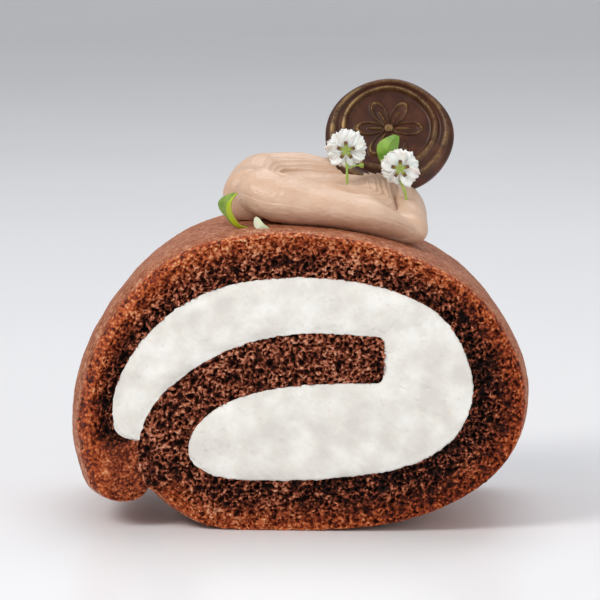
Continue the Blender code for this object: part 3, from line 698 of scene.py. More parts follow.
# fine scratches that the knife drew downwards to the right, seven times as long as they are wide
drawn = add(tree, "ShaderNodeMapping", {"Vector": place_node, "Rotation": (0, math.radians(45), 0),
                                        "Scale": (7, 1, 1)}, vector_type="TEXTURE")
scratch = noise(tree, drawn.outputs[0], 1100.0, 4.0, 0.7)
scored = add(tree, "ShaderNodeBump", {"Height": scratch.outputs["Fac"], "Strength": 0.45, "Distance": 0.0005,
                                      "Normal": bump.outputs[0]})
tree.links.new(scored.outputs[0], shader.inputs["Normal"])
new_piece("white_cream", cream_points, cream_faces, cream_finish, "cream_filling")

# %% [markdown]
# ## The swirl of coffee cream
# A spoon laid the cream down in an oval: a fat rounded ridge in front, its end folded over where it
# began at the left, fine lines left by the spoon round the hollow, and a nose where it pulled away.
# So the surface has a direction round the oval and a profile: under, round the bulge, over the crest
# and down to the hollow. The lines follow the oval, so they belong to the profile.

# %% Reach, foot and crest by direction
SWIRL_CENTRE = np.array((3.8, -2.0))
SWIRL_HALF_WIDTH, SWIRL_HALF_DEPTH, SWIRL_SQUARENESS = 21.0, 16.5, 2.7
CREST_IN, FOOT_IN, HOLLOW_Z = 6.0, 4.2, 68.4
SWIRL_CREST = ((0, 65.6), (25, 68.4), (60, 70.8), (90, 72.5), (120, 73.5), (150, 73.5), (185, 71.4),
               (215, 72.0), (240, 70.2), (270, 68.5), (305, 66.8), (335, 63.4))
FOLD, NOSE = 203.0, 337.0
COLUMNS = 480


def swirl_course(direction, fold_depth=1.0):
    """Reach, contact line, crest height, the nose's share and the undercut's, for each direction."""
    turn = np.radians(direction)
    reach = (np.abs(np.cos(turn) / SWIRL_HALF_WIDTH) ** SWIRL_SQUARENESS
             + np.abs(np.sin(turn) / SWIRL_HALF_DEPTH) ** SWIRL_SQUARENESS) ** (-1 / SWIRL_SQUARENESS)
    nose, fold = bump_at(direction, NOSE, 11.0), bump_at(direction, FOLD, 8.0) * fold_depth
    under = bump_at(direction, FOLD + 12, 14.0)
    reach = reach + 1.4 * nose - 2.2 * fold
    crest = around(direction, SWIRL_CREST) - 1.6 * fold
    return reach, reach - FOOT_IN - 4.5 * under, crest, nose, under


def cusp(off, outer_width, inner_width):
    """A crisp line left by a spoon: e to the power -|off| / width, with its own width on each side."""
    return np.exp(-np.abs(off) / np.where(off > 0, outer_width, inner_width))


direction = np.arange(COLUMNS) * 360.0 / COLUMNS
turn = np.radians(direction)
reach, foot_reach, crest, nose, under = swirl_course(direction, fold_depth=2.2)
crest_radius = reach - CREST_IN
under_stroke = ease((direction - 200) / 8) * ease((338 - direction) / 12)
reach, crest = reach - 2.2 * under_stroke, crest - 0.5 * under_stroke


def plan(radius):
    return SWIRL_CENTRE[0] + radius * np.cos(turn), SWIRL_CENTRE[1] + radius * np.sin(turn)


# %% Under, round and over: the rings of the swirl
# each line's share of the way out, at the back and in front; the lines spread out towards the front
LINES = ((0.86, 0.99, 0.30), (0.79, 0.905, 0.55), (0.72, 0.85, 0.45), (0.65, 0.77, 0.55), (0.57, 0.69, 0.40),
         (0.49, 0.60, 0.30))
BACK_TUBE = 0.36                    # the share of the way in over which the ridge at the back rounds off
to_front = around(direction, ((0, 0.85), (45, 0.35), (90, 0.0), (180, 0.0), (215, 0.5), (250, 1.0), (325, 1.0)))
rings = []
for share in (0.3, 0.6, 0.8, 0.92, 1.0):
    radius = foot_reach * share
    rings.append((radius, roof(*plan(radius)) + 0.02 + under * share * 1.2))
foot = rings[-1][1]
waist = foot + (crest - foot) * (0.5 - 0.14 * nose)
for angle in np.radians(np.linspace(-86, 90, 46)):
    if angle < 0:
        rings.append((foot_reach + (reach - foot_reach) * math.cos(angle),
                      waist + (waist - foot) * math.sin(angle)))
    else:
        rings.append((crest_radius + (reach - crest_radius) * math.cos(angle),
                      waist + (crest - waist) * math.sin(angle)))
right_end = bump_at(direction, 10, 45)
pit = bump_at(direction, 184, 8)
for share in np.concatenate([np.linspace(0.993, 0.40, 104), np.linspace(0.39, 0.03, 14)]):
    rounded = math.sqrt(max(0.0, 1 - ((1 - share) / BACK_TUBE) ** 2))
    lines = 0.0
    for number, (at_back, in_front, size) in enumerate(LINES):
        centre = at_back + (in_front - at_back) * to_front + 0.008 * np.sin(turn * 3 + 1.9 * number)
        strong = 0.7 + 0.3 * np.cos(turn * 2 - 1.3 * number) + 0.5 * right_end
        lines = lines + size * strong * cusp(share - centre, 0.010, 0.045)
    floor_z = HOLLOW_Z + (crest - HOLLOW_Z) * ((1 - to_front) * 0.42 * rounded
                                               + (0.58 + 0.42 * to_front) * share ** 2)
    step_down = 1.2 * to_front * math.exp(-((share - 0.955) / 0.028) ** 2)
    shelf = 0.75 * to_front * ease((0.93 - share) / 0.08) * ease((share - 0.40) / 0.25)
    dip = 1.3 * pit * math.exp(-((share - 0.70) / 0.06) ** 2)
    rings.append((crest_radius * share, floor_z + (lines + shelf - step_down - dip) * ease(share * 3)))

radii = np.array([np.broadcast_to(r[0], COLUMNS) for r in rings])
heights = np.array([np.broadcast_to(r[1], COLUMNS) for r in rings])
x, y = plan(radii)
low_rows = np.arange(len(rings))[:, None] < 5
settle = 0.14 * waves(x, y, 7.0, 401) + 0.06 * waves(x, y, 2.4, 402) + 0.03 * waves(x, y, 0.7, 403)
heights = np.where(low_rows, heights, heights + settle * ease((heights - foot) / 3.0))
poles = np.array([(*SWIRL_CENTRE, float(roof(*SWIRL_CENTRE))), (*SWIRL_CENTRE, heights[-1].mean())])
swirl_points = np.concatenate([np.stack([x, y, heights], axis=-1).reshape(-1, 3), poles])
round_faces = grid_faces(len(rings), COLUMNS, wrap=True)
here = np.arange(COLUMNS)
after = np.roll(here, -1)
last = (len(rings) - 1) * COLUMNS
low_pole, top_pole = len(rings) * COLUMNS, len(rings) * COLUMNS + 1
caps = np.concatenate([np.stack([np.full(COLUMNS, low_pole), after, here], axis=1),
                       np.stack([np.full(COLUMNS, top_pole), last + here, last + after], axis=1)])
swirl_faces = facing_out(swirl_points, [round_faces, caps])

# %% [markdown]
# The last stroke of the spoon lies on the rest as a fat roll of its own: a blunt end at the left, over
# the place where the oval began, and a taper into the nose at the right. It is an oval swept round
# the front, drawn in at both ends like the end of a sausage, with two crisp lines along its top.

# %% The front stroke
STROKE_START, STROKE_END, STROKE_WIDTH = 199.0, 345.0, 5.5
STROKE_BACK = 1.4                   # how far behind its crest the stroke drops away
ALONG_COUNT, ROUND_COUNT = 300, 200
t = np.linspace(0, 1, ALONG_COUNT)
stroke_direction = STROKE_START + (STROKE_END - STROKE_START) * t
reach, foot_reach, crest, nose, under = swirl_course(stroke_direction, fold_depth=0.0)
reach = reach + 0.05 - 1.0 * bump_at(stroke_direction, FOLD, 14)
middle_radius = reach - STROKE_WIDTH
turn = np.radians(stroke_direction)
path_x, path_y = SWIRL_CENTRE[0] + middle_radius * np.cos(turn), SWIRL_CENTRE[1] + middle_radius * np.sin(turn)
run = np.concatenate([[0], np.cumsum(np.hypot(np.diff(path_x), np.diff(path_y)))])
foot = roof(SWIRL_CENTRE[0] + foot_reach * np.cos(turn), SWIRL_CENTRE[1] + foot_reach * np.sin(turn)) + 1.6 * under
blunt = np.sqrt(1 - np.clip(1 - run / 4.2, 0, 1) ** 2)
tapered = np.sqrt(1 - np.clip(1 - (run[-1] - run) / 11.0, 0, 1) ** 2)
size = np.maximum(blunt * tapered, 0.004)[:, None]
round_angle = (np.arange(ROUND_COUNT) * 2 * math.pi / ROUND_COUNT)[None]
half_height = ((crest - foot) / 2 + 0.05)[:, None] * size
waist = (foot + (crest - foot) * (0.5 - 0.10 * nose))[:, None]
degrees = np.degrees(round_angle)
line_lift = (0.30 * np.exp(-np.abs(degrees - 92) / 4.0) + 0.45 * np.exp(-np.abs(degrees - 78) / 3.0)
             * ease((run[:, None] - 8) / 10)) * size
reach_across = np.where(np.cos(round_angle) > 0, STROKE_WIDTH,
                        STROKE_BACK + (STROKE_WIDTH - STROKE_BACK) * (1 - size))
radius = middle_radius[:, None] + reach_across * size * np.cos(round_angle)
height = waist + half_height * np.sin(round_angle) + line_lift
x, y = SWIRL_CENTRE[0] + radius * np.cos(turn)[:, None], SWIRL_CENTRE[1] + radius * np.sin(turn)[:, None]
arc = round_angle * STROKE_WIDTH + 0 * x
flow = run[:, None] + 0 * x
pores = pits(flow, arc, 0.9, 420, share=0.5, smallest=0.06, largest=0.20) * ease(1 - flow / 16)
swell = (0.12 * waves(flow, arc, 6.0, 421) + 0.05 * waves(flow * 0.4, arc, 1.3, 422)
         + 0.04 * waves(flow, arc, 0.7, 423) - 0.22 * pores) * size
out_x, out_y, out_z = (np.cos(round_angle) * np.cos(turn)[:, None], np.cos(round_angle) * np.sin(turn)[:, None],
                       np.sin(round_angle))
stroke_points = np.stack([x + swell * out_x, y + swell * out_y, height + swell * out_z], axis=-1).reshape(-1, 3)
start_ring, end_ring = np.arange(ROUND_COUNT), np.arange(ROUND_COUNT) + (ALONG_COUNT - 1) * ROUND_COUNT
stroke_faces = facing_out(stroke_points, [grid_faces(ALONG_COUNT, ROUND_COUNT, wrap=True),
                                          start_ring[None, ::-1], end_ring[None]])

# %% Coffee cream, spooned
coffee_finish, tree, shader, place_node = new_material("coffee_cream_spooned", 0.36, Subsurface_Weight=0.08,
                                           Subsurface_Scale=0.0015, Specular_IOR_Level=0.45)
shader.inputs["Subsurface Radius"].default_value = (1.0, 0.7, 0.5)
cloud = noise(tree, place_node, 220.0, 3.0)
tan = add(tree, "ShaderNodeValToRGB", {"Fac": cloud.outputs["Fac"]},
          stops=((0.30, "#c9a78e"), (0.5, "#cfae96"), (0.70, "#d5b7a1")))
tree.links.new(tan.outputs[0], shader.inputs["Base Color"])
foam = noise(tree, place_node, 1500.0, 3.0, 0.6)
relief(tree, shader, foam.outputs["Fac"], 0.30, 0.0003)
new_piece("coffee_cream", swirl_points, swirl_faces, coffee_finish, "cream_swirl")
new_piece("coffee_cream_stroke", stroke_points, stroke_faces, coffee_finish, None)

# %% [markdown]
# ## The chocolate seal
# Melted dark chocolate is poured in a small pool and pressed with a cold stamp, like sealing wax: a
# swollen uneven lip, a groove, a raised ring, and a flat sunk field with a raised design. The design
# here is a plain six-petalled flower. Dull gold dust is brushed on and stays on what stands proud.

# %% The seal's relief
SEAL_HALF_WIDTH, SEAL_HALF_HEIGHT, SEAL_THICKNESS, STAMP_OFF = 13.6, 12.9, 3.6, 1.6
SEAL_CENTRE = np.array((16.5, 10.0, 76.7))
SEAL_LEAN = math.radians(28.0)
COLUMNS = 288
turn = np.arange(COLUMNS) * 2 * math.pi / COLUMNS
oval = 1 / np.sqrt((np.cos(turn) / SEAL_HALF_WIDTH) ** 2 + (np.sin(turn) / SEAL_HALF_HEIGHT) ** 2)
edge_radius = oval * (1 + 0.010 * np.cos(3 * turn + 0.6) + 0.008 * np.cos(5 * turn - 1.0) - 0.012)
profile = np.array(((0.985, 0.55), (0.93, 0.95), (0.86, 1.0), (0.81, 0.74), (0.775, 0.68), (0.745, 0.88),
                    (0.72, 0.94), (0.69, 0.90), (0.655, 0.42), (0.63, 0.32), (0.0, 0.28)))
shares = np.concatenate([np.linspace(0.985, 0.62, 60), np.linspace(0.612, 0.02, 64)])
lift = natural_cubic(1 - profile[:, 0], profile[:, 1:], 1 - shares)[:, 0]
lift = np.where(shares < 0.63, 0.30, lift)
front_radius = shares[:, None] * edge_radius
petal_line = 0.50 * np.abs(np.cos(3 * turn)) ** 0.8
flower = np.exp(-((shares[:, None] - petal_line) / 0.030) ** 2) * ease(shares[:, None] / 0.12)
vein = np.exp(-((np.abs(np.sin(3 * turn)) * shares[:, None]) / 0.055) ** 2) * (shares[:, None] < 0.34)
vein = vein * ease((0.36 - shares[:, None]) / 0.06) * ease((shares[:, None] - 0.08) / 0.05)
heart_dot = ease((0.085 - shares[:, None]) / 0.03)
raised = np.clip(np.maximum(np.maximum(flower, 0.7 * vein), heart_dot), 0, 1) * (shares[:, None] < 0.60)
height = lift[:, None] + 0.34 * raised
back_shares = np.array((0.3, 0.6, 0.8, 0.90, 0.95, 0.98, 0.995, 1.0, 0.998))
back_lift = np.array((-1.0, -1.0, -0.98, -0.92, -0.80, -0.60, -0.25, 0.0, 0.28))
radius = np.concatenate([back_shares[:, None] * edge_radius, front_radius])
height = np.concatenate([np.broadcast_to(back_lift[:, None], (len(back_lift), COLUMNS)), height])
share_all = np.concatenate([back_shares, shares])
up_stamp = STAMP_OFF * np.concatenate([np.zeros(len(back_shares)), np.clip((1 - shares) / 0.3, 0, 1)])[:, None]
flat_x, flat_y = radius * np.cos(turn), radius * np.sin(turn) + up_stamp
slump = 0.10 * waves(flat_x, flat_y, 5.0, 501) + 0.03 * waves(flat_x, flat_y, 1.6, 502)
flat_z = height * SEAL_THICKNESS / 2 + slump * (np.arange(len(share_all)) > 4)[:, None]


def stand_seal(flat_x, flat_y, flat_z):
    """Turns the lying disc up about X by 90 degrees less its lean, and moves it to its place."""
    upright = math.pi / 2 - SEAL_LEAN
    return np.stack([flat_x + SEAL_CENTRE[0],
                     flat_y * math.cos(upright) - flat_z * math.sin(upright) + SEAL_CENTRE[1],
                     flat_y * math.sin(upright) + flat_z * math.cos(upright) + SEAL_CENTRE[2]], axis=-1)


seal_points = stand_seal(flat_x, flat_y, flat_z).reshape(-1, 3)
rows = len(share_all)
first, last_ring = np.arange(COLUMNS), np.arange(COLUMNS) + (rows - 1) * COLUMNS
seal_faces = facing_out(seal_points, [grid_faces(rows, COLUMNS, wrap=True), first[None, ::-1], last_ring[None]])
proud = np.concatenate([np.zeros((len(back_shares), COLUMNS)),
                        np.maximum(raised, 0.85 * np.exp(-((shares[:, None] - 0.71) / 0.035) ** 2)
                                   + 0.75 * np.exp(-((shares[:, None] - 0.885) / 0.035) ** 2)) + 0 * turn])
dusted = proud * (0.55 + 0.45 * ease((2.0 - flat_x) / 14.0))

# %% Dark chocolate, pressed, with gold dust
chocolate_finish, tree, shader, place_node = new_material("dark_chocolate_pressed", 0.40, Specular_IOR_Level=0.28)
dust_mark = add(tree, "ShaderNodeAttribute", attribute_name="dust").outputs["Fac"]
bloom = noise(tree, place_node, 300.0, 4.0)
brown = add(tree, "ShaderNodeValToRGB", {"Fac": bloom.outputs["Fac"]},
            stops=((0.3, "#371a0f"), (0.5, "#432214"), (0.7, "#552e1c")))
# single specks of dust are about 0.05 mm; they are drawn at 0.4 mm, the finest that shows
specks = noise(tree, place_node, 1800.0, 3.0, 0.7)
stroke = noise(tree, place_node, 350.0, 2.0)
cover = add(tree, "ShaderNodeMath", {0: specks.outputs["Fac"], 1: stroke.outputs["Fac"]}, operation="ADD")
cover = add(tree, "ShaderNodeMapRange", {"Value": cover.outputs[0], "From Min": 0.78, "From Max": 1.15})
cover = add(tree, "ShaderNodeMath", {0: cover.outputs[0], 1: dust_mark}, operation="MULTIPLY")
dusty = add(tree, "ShaderNodeMix", {0: cover.outputs[0], 6: brown.outputs[0], 7: linear("#a98a5a")},
            data_type="RGBA")
tree.links.new(dusty.outputs[2], shader.inputs["Base Color"])
metal = add(tree, "ShaderNodeMath", {0: cover.outputs[0], 1: 0.5}, operation="MULTIPLY")
tree.links.new(metal.outputs[0], shader.inputs["Metallic"])
relief(tree, shader, bloom.outputs["Fac"], 0.15, 0.0003)
new_piece("pressed_seal", seal_points, seal_faces, chocolate_finish, "chocolate_seal",
          {"dust": dusted.ravel()})

# %% [markdown]
# ## The blossoms
# Gypsophila is sold as "baby's breath": a ball of small ruffled petals 8 mm across on a thin stem.
# Both heads are seen from behind, so the green cup with its five dark-tipped sepals faces the viewer.
# One petal is a small grid, bent and ruffled by a formula; a table of turns and tilts repeats it.


# %% Petals, sepals and stems as one mesh each
def blades(azimuth, tilt, length, width, curl, ruffle, seed, rows=9, columns=13):
    """Many blades at once. u runs across (-1 to 1), v along (0 to 1). Each starts at the middle, leaves at
    'tilt' from the head's axis and bends by 'curl'; its far edge waves in and out and up and down."""
    count = len(azimuth)
    u, v = np.meshgrid(np.linspace(-1, 1, columns), np.linspace(0, 1, rows))
    u, v = u[None], v[None]
    azimuth, tilt, length, width, curl = (np.reshape(q, (count, 1, 1)) for q in (azimuth, tilt, length, width, curl))
    number = np.arange(count)[:, None, None]
    half = width * np.sin(math.pi * (0.10 + 0.62 * v)) ** 0.8
    bend = tilt + curl * v
    out = length * (np.cumsum(np.sin(bend) / rows, axis=1) * (v > 0))
    ahead = length * (np.cumsum(np.cos(bend) / rows, axis=1) * (v > 0))
    teeth = ruffle * ease((v - 0.40) / 0.60)
    out = out + teeth * (0.4 * np.sin(9.0 * u + 2.1 * number) - 0.9 * v ** 3 * np.abs(np.sin(6.5 * u + number)))
    ahead = ahead + 1.3 * teeth * np.sin(7.0 * u + 1.7 * number + 2.0 * v) - 0.22 * half * u ** 2
    sideways = half * u
    x = out * np.cos(azimuth) - sideways * np.sin(azimuth)
    y = out * np.sin(azimuth) + sideways * np.cos(azimuth)
    points = np.stack([x + 0 * v, y + 0 * v, ahead + 0 * u], axis=-1).reshape(-1, 3)
    one = grid_faces(rows, columns)
    return points, (one[None] + (np.arange(count) * rows * columns)[:, None, None]).reshape(-1, 4)


def tube(path, radius, sides=10):
    """A round tube along a path that stays near one upright plane, open at both ends."""
    along = np.gradient(path, axis=0)
    along /= np.linalg.norm(along, axis=1)[:, None]
    across = np.cross(along, (1.0, 0.0, 0.0))
    across /= np.linalg.norm(across, axis=1)[:, None]
    other = np.cross(along, across)
    angle = np.arange(sides) * 2 * math.pi / sides
    ring = across[:, None] * np.cos(angle)[None, :, None] + other[:, None] * np.sin(angle)[None, :, None]
    points = (path[:, None] + ring * np.reshape(radius, (-1, 1, 1))).reshape(-1, 3)
    return points, grid_faces(len(path), sides, wrap=True)


def to_head(points, head, axis):
    """Stands blades, made about +Z, on an axis through the head."""
    axis = np.array(axis) / np.linalg.norm(axis)
    sideways = np.cross((0.0, 0.0, 1.0), axis)
    sideways /= np.linalg.norm(sideways)
    upwards = np.cross(axis, sideways)
    return points[:, :1] * sideways + points[:, 1:2] * upwards + points[:, 2:] * axis + np.array(head)


def blossom(name, foot, cup, axis, radius, seed, side_bud):
    """A head of petals in four layers, its cup with five sepals, the stem and, if wanted, a side bud."""
    random = np.random.default_rng(seed)
    blocks, faces, marks, start = [], [], [], 0

    def put(points, quads, mark):
        nonlocal start
        blocks.append(points)
        faces.append(quads + start)
        marks.append(np.full(len(points), mark) if np.isscalar(mark) else mark)
        start += len(points)

    layers = ((10, 98, -34, 1.0), (11, 86, -46, 1.0), (10, 70, -44, 0.98), (9, 50, -34, 0.93), (8, 28, -20, 0.86))
    for number, (count, tilt, curl, size) in enumerate(layers):
        azimuth = np.arange(count) * 2 * math.pi / count + 0.37 * number + random.normal(0, 0.10, count)
        points, quads = blades(azimuth, np.radians(tilt + random.normal(0, 6, count)),
                               radius * size * random.uniform(0.92, 1.08, count),
                               radius * 0.50 * random.uniform(0.9, 1.15, count),
                               np.radians(curl + random.normal(0, 8, count)), radius * 0.085, seed + number)
        put(to_head(points + (0, 0, 0.25), cup, axis), quads, 0.0)
    sepal_turn = np.arange(5) * 2 * math.pi / 5 + 0.3
    points, quads = blades(sepal_turn, np.radians(np.full(5, 88.0)), np.full(5, radius * 0.47),
                           np.full(5, radius * 0.095), np.radians(np.full(5, 14.0)), 0.0, seed, rows=7, columns=5)
    tip = np.tile(np.repeat(np.linspace(0, 1, 7), 5), 5)
    put(to_head(points - (0, 0, 0.60), cup, axis), quads, 1.0 + tip)
    foot, cup_point = np.array(foot), np.array(cup)
    neck = cup_point + np.array(axis) * 1.0 - (0, 0, 1.3)
    stem = bezier(foot, foot + (0, 0, 2.5), neck - (0, 0.8, 2.2), neck, np.linspace(0, 1, 26))
    stem_radius = 0.24 + 0.05 * np.cos(np.linspace(0, 18, 26))
    put(*tube(cup_point + np.array(axis) * np.linspace(-0.85, 0.4, 12)[:, None],
              0.36 * np.sqrt(np.linspace(0.02, 1, 12))), 1.0)
    put(*tube(stem, stem_radius), 1.15)
    if side_bud:
        twig_start = stem[14]
        twig = bezier(twig_start, twig_start + (1.0, -0.1, 0.9), twig_start + (2.2, 0.0, 0.9),
                      twig_start + (3.4, 0.1, 0.8), np.linspace(0, 1, 12))
        swell = 0.12 + 0.42 * np.exp(-((np.linspace(0, 1, 12) - 0.9) / 0.13) ** 2)
        put(*tube(twig, swell), 1.35)
    return np.concatenate(blocks), np.concatenate(faces), np.concatenate(marks)


# %% White petals and a green cup
petal_finish, tree, shader, place_node = new_material("gypsophila_petal", 0.6, Subsurface_Weight=0.15, Subsurface_Scale=0.001)
mark = add(tree, "ShaderNodeAttribute", attribute_name="green").outputs["Fac"]
vary = noise(tree, place_node, 900.0, 2.0)
white = add(tree, "ShaderNodeValToRGB", {"Fac": vary.outputs["Fac"]}, stops=((0.3, "#e6e4dd"), (0.6, "#f6f5f2")))
green = add(tree, "ShaderNodeMapRange", {"Value": mark, "From Min": 1.0, "From Max": 2.0})
green = add(tree, "ShaderNodeValToRGB", {"Fac": green.outputs[0]},
            stops=((0.0, "#a5bb58"), (0.40, "#86a03e"), (0.62, "#6a5a2c"), (1.0, "#483420")))
is_green = add(tree, "ShaderNodeMath", {0: mark, 1: 0.5}, operation="GREATER_THAN")
mixed = add(tree, "ShaderNodeMix", {0: is_green.outputs[0], 6: white.outputs[0], 7: green.outputs[0]},
            data_type="RGBA")
tree.links.new(mixed.outputs[2], shader.inputs["Base Color"])
relief(tree, shader, vary.outputs["Fac"], 0.2, 0.0002)

heads = (
    ("blossom_at_front", "blossom_front", (8.5, -5.0, 67.4), (8.3, -4.4, 75.3), (0.05, 1.0, 0.12), 4.15, 61, True),
    ("blossom_at_back", "blossom_back", (20.6, -3.6, 64.6), (19.3, -3.4, 71.45), (-0.05, 1.0, 0.10), 4.05, 67, False))
for name, node, foot_place, cup, axis, radius, seed, side_bud in heads:
    flower_points, flower_faces, marks = blossom(name, foot_place, cup, axis, radius, seed, side_bud)
    flower_piece = new_piece(name, flower_points, [flower_faces], petal_finish, node,
                             {"green": marks})
    thick = flower_piece.modifiers.new("petal thickness", "SOLIDIFY")
    thick.thickness = 0.07 * MM
    thick.offset = 0.0

# %% [markdown]
# ## The leaves
# Three bits of leaf. Each is a blade along a short curved line, spread to both sides, and the two
# halves fold along the midrib, so that one half can face the viewer while the other turns away.


# %% Blades folded along a midrib
def leaf_grid(spine, left, right, left_width, right_width, left_from=0.0, rows=40, columns=25):
    """Points = spine(t) + left * width(t) * max(-v, 0) + right * width(t) * max(v, 0), v from -1 to 1,
    each width following sin(pi * t), so that the blade is pointed; the left half may start later."""
    spine = np.array(spine, float)
    t = np.linspace(0, 1, rows)
    line = natural_cubic(np.linspace(0, 1, len(spine)), spine, t)
    v = np.linspace(-1, 1, columns)
    width = (0.12 + 0.88 * np.sin(math.pi * np.clip(0.04 + 0.94 * t, 0, 1)) ** 0.75)[:, None, None]
    left, right = np.array(left) / np.linalg.norm(left), np.array(right) / np.linalg.norm(right)
    late = np.clip((t - left_from) / (1 - left_from), 0, 1)
    left_share = (0.10 + 0.90 * np.sin(math.pi * np.clip(0.02 + 0.94 * late, 0, 1)) ** 0.8)[:, None, None]
    points = (line[:, None] + right * right_width * np.clip(v, 0, 1)[None, :, None] * width
              + left * left_width * np.clip(-v, 0, 1)[None, :, None] * left_share)
    marks = np.broadcast_to(v[None], (rows, columns))
    return points.reshape(-1, 3), grid_faces(rows, columns), marks.ravel(), np.repeat(t, columns)


def leaf_finish(name, dark, light, inner, inner_share):
    """A waxy leaf: veins off the midrib, and a paler, brighter inner half where the light comes through."""
    material, tree, shader, place_node = new_material(name, 0.38, Specular_IOR_Level=0.5, Subsurface_Weight=0.1,
                                          Subsurface_Scale=0.001)
    across = add(tree, "ShaderNodeAttribute", attribute_name="across").outputs["Fac"]
    along = add(tree, "ShaderNodeAttribute", attribute_name="along").outputs["Fac"]
    away = add(tree, "ShaderNodeMath", {0: across}, operation="ABSOLUTE")
    slant = add(tree, "ShaderNodeMath", {0: away.outputs[0], 1: -0.35, 2: along}, operation="MULTIPLY_ADD")
    veins = add(tree, "ShaderNodeMath", {0: slant.outputs[0], 1: 60.0}, operation="MULTIPLY")
    veins = add(tree, "ShaderNodeMath", {0: veins.outputs[0]}, operation="SINE")
    vary = noise(tree, place_node, 500.0, 3.0)
    mixer = add(tree, "ShaderNodeMath", {0: veins.outputs[0], 1: 0.06, 2: vary.outputs["Fac"]}, operation="MULTIPLY_ADD")
    base = add(tree, "ShaderNodeValToRGB", {"Fac": mixer.outputs[0]}, stops=((0.35, dark), (0.65, light)))
    half = add(tree, "ShaderNodeMapRange", {"Value": across, "From Min": -0.1, "From Max": 0.2, "To Max": inner_share})
    colour = add(tree, "ShaderNodeMix", {0: half.outputs[0], 6: base.outputs[0], 7: linear(inner)}, data_type="RGBA")
    tree.links.new(colour.outputs[2], shader.inputs["Base Color"])
    relief(tree, shader, mixer.outputs[0], 0.3, 0.0002)
    return material


leaves = (
    ("leaf_curled", "leaf_curl", "green_leaf", leaf_finish("leaf_waxy_green", "#5f7f2a", "#86a23c", "#a2b414", 1.0),
     ((-11.4, -17.0, 60.6), (-13.4, -17.1, 60.9), (-15.0, -17.3, 62.8), (-15.2, -17.4, 65.4), (-13.3, -17.2, 67.6)),
     (-0.95, 0.75, 0.20), (0.90, -0.35, 0.25), 2.3, 1.25, 0.48),
    ("leaf_pale_scrap", "leaf_scrap", "pale_leaf", leaf_finish("leaf_pale", "#b3b698", "#cbccb5", "#b9c48f", 0.5),
     ((-9.4, -18.6, 62.9), (-8.9, -19.2, 62.2), (-8.1, -20.0, 61.4), (-6.6, -20.3, 60.9)),
     (-0.8, 0.0, -0.75), (0.8, 0.2, 0.6), 1.1, 0.7, 0.0),
    ("leaf_behind", "leaf_back", "green_leaf", leaf_finish("leaf_fresh_green", "#5d8a26", "#86b03a", "#6f9a2c", 0.8),
     ((16.0, 2.6, 71.0), (16.4, 2.6, 73.6), (17.0, 2.9, 75.6), (18.4, 3.4, 77.6)),
     (-0.9, 0.25, 0.25), (0.9, 0.35, -0.25), 2.5, 2.0, 0.0))
for name, node, slot, finish, spine, *spread in leaves:
    leaf_points, leaf_faces, across, along = leaf_grid(spine, *spread)
    leaf = new_piece(name, leaf_points, [leaf_faces], finish, node, {"across": across, "along": along})
    thick = leaf.modifiers.new("leaf thickness", "SOLIDIFY")
    thick.thickness = 0.22 * MM
    thick.offset = 0.0

# %% [markdown]
# ## Floor, light and camera
# A pale sweep with a slight gloss, a broad soft light high at the left, a weaker one from the right
# and a pale surround. The camera is a long lens close to table height, as for food on a counter.

# %% The sweep
floor_finish, tree, shader, place_node = new_material("pale_floor", 0.32, Specular_IOR_Level=0.4)
mottle = noise(tree, place_node, 6.0, 2.0)
pale = add(tree, "ShaderNodeValToRGB", {"Fac": mottle.outputs["Fac"]}, stops=((0.3, "#eeeef2"), (0.7, "#f1f1f4")))
tree.links.new(pale.outputs[0], shader.inputs["Base Color"])
angle = np.linspace(0, math.pi / 2, 24)
bend_radius, back_start = 0.9, 1.6
sweep_y = np.concatenate([[-2.0, 0.0, back_start], back_start + bend_radius * np.sin(angle[1:]),
                          [back_start + bend_radius]])
sweep_z = np.concatenate([[0.0, 0.0, 0.0], bend_radius * (1 - np.cos(angle[1:])), [3.0]])
sweep_points = np.stack([np.repeat([-3.0, 3.0], len(sweep_y)), np.tile(sweep_y, 2), np.tile(sweep_z, 2)], axis=1)
floor_mesh = bpy.data.meshes.new("sweep")
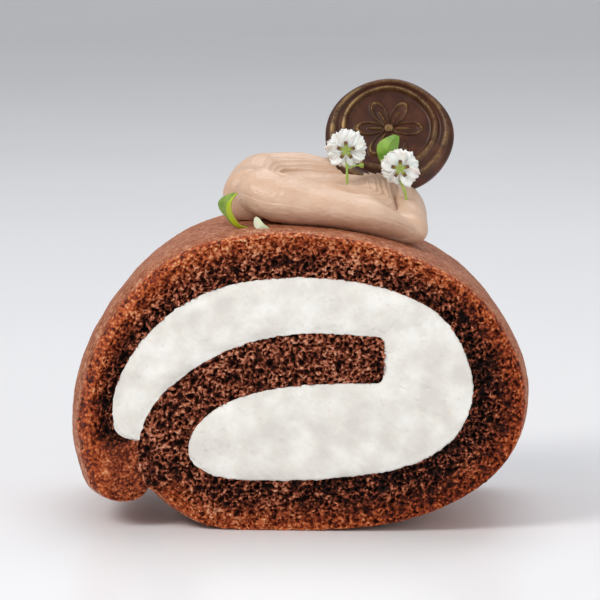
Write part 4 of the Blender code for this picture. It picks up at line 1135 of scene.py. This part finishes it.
floor_mesh.from_pydata(sweep_points.tolist(), [], grid_faces(2, len(sweep_y)).tolist())
floor_mesh.shade_smooth()
floor_mesh.materials.append(floor_finish)
floor_piece = bpy.data.objects.new("sweep", floor_mesh)
bpy.context.collection.objects.link(floor_piece)


# %% Lights
def soft_light(name, place, target, size, power, colour):
    light = bpy.data.lights.new(name, "AREA")
    light.size, light.energy, light.color = size, power, linear(colour)[:3]
    lamp = bpy.data.objects.new(name, light)
    bpy.context.collection.objects.link(lamp)
    lamp.location = place
    lamp.rotation_euler = (Vector(place) - Vector(target)).to_track_quat("Z", "Y").to_euler()


cake_middle = (CAD_BOX[0] + CAD_BOX[1]) / 2
soft_light("key", (-0.50, -0.50, 0.70), cake_middle, 0.36, 5.0, "#fffbf6")
soft_light("fill", (0.7, -0.6, 0.30), cake_middle, 0.6, 2.1, "#fffaf6")
soft_light("top", (0.10, 0.35, 0.85), cake_middle, 0.6, 3.0, "#fbfdff")
surround = bpy.data.worlds.new("pale_surround")
bpy.context.scene.world = surround
surround.use_nodes = True
surround.node_tree.nodes["Background"].inputs["Color"].default_value = linear("#f0f2f2")
surround.node_tree.nodes["Background"].inputs["Strength"].default_value = 0.57
bpy.context.scene.view_settings.view_transform = "Standard"

# %% Camera
CAMERA_AZIMUTH, CAMERA_ELEVATION = math.radians(3.4), math.radians(8.1)
CAMERA_DISTANCE = 0.664
LENS = 199.2
aim = Vector((SHIFT * MM, CAD_BOX[0].y, 0.0471))
towards = Vector((math.sin(CAMERA_AZIMUTH) * math.cos(CAMERA_ELEVATION),
                  -math.cos(CAMERA_AZIMUTH) * math.cos(CAMERA_ELEVATION), math.sin(CAMERA_ELEVATION)))
camera = bpy.data.objects.new("camera", bpy.data.cameras.new("camera"))
bpy.context.collection.objects.link(camera)
camera.data.lens = LENS
camera.data.clip_start = 0.01
camera.location = aim + towards * CAMERA_DISTANCE
camera.rotation_euler = towards.to_track_quat("Z", "Y").to_euler()
bpy.context.scene.camera = camera

# %% Finish
bpy.context.view_layer.update()
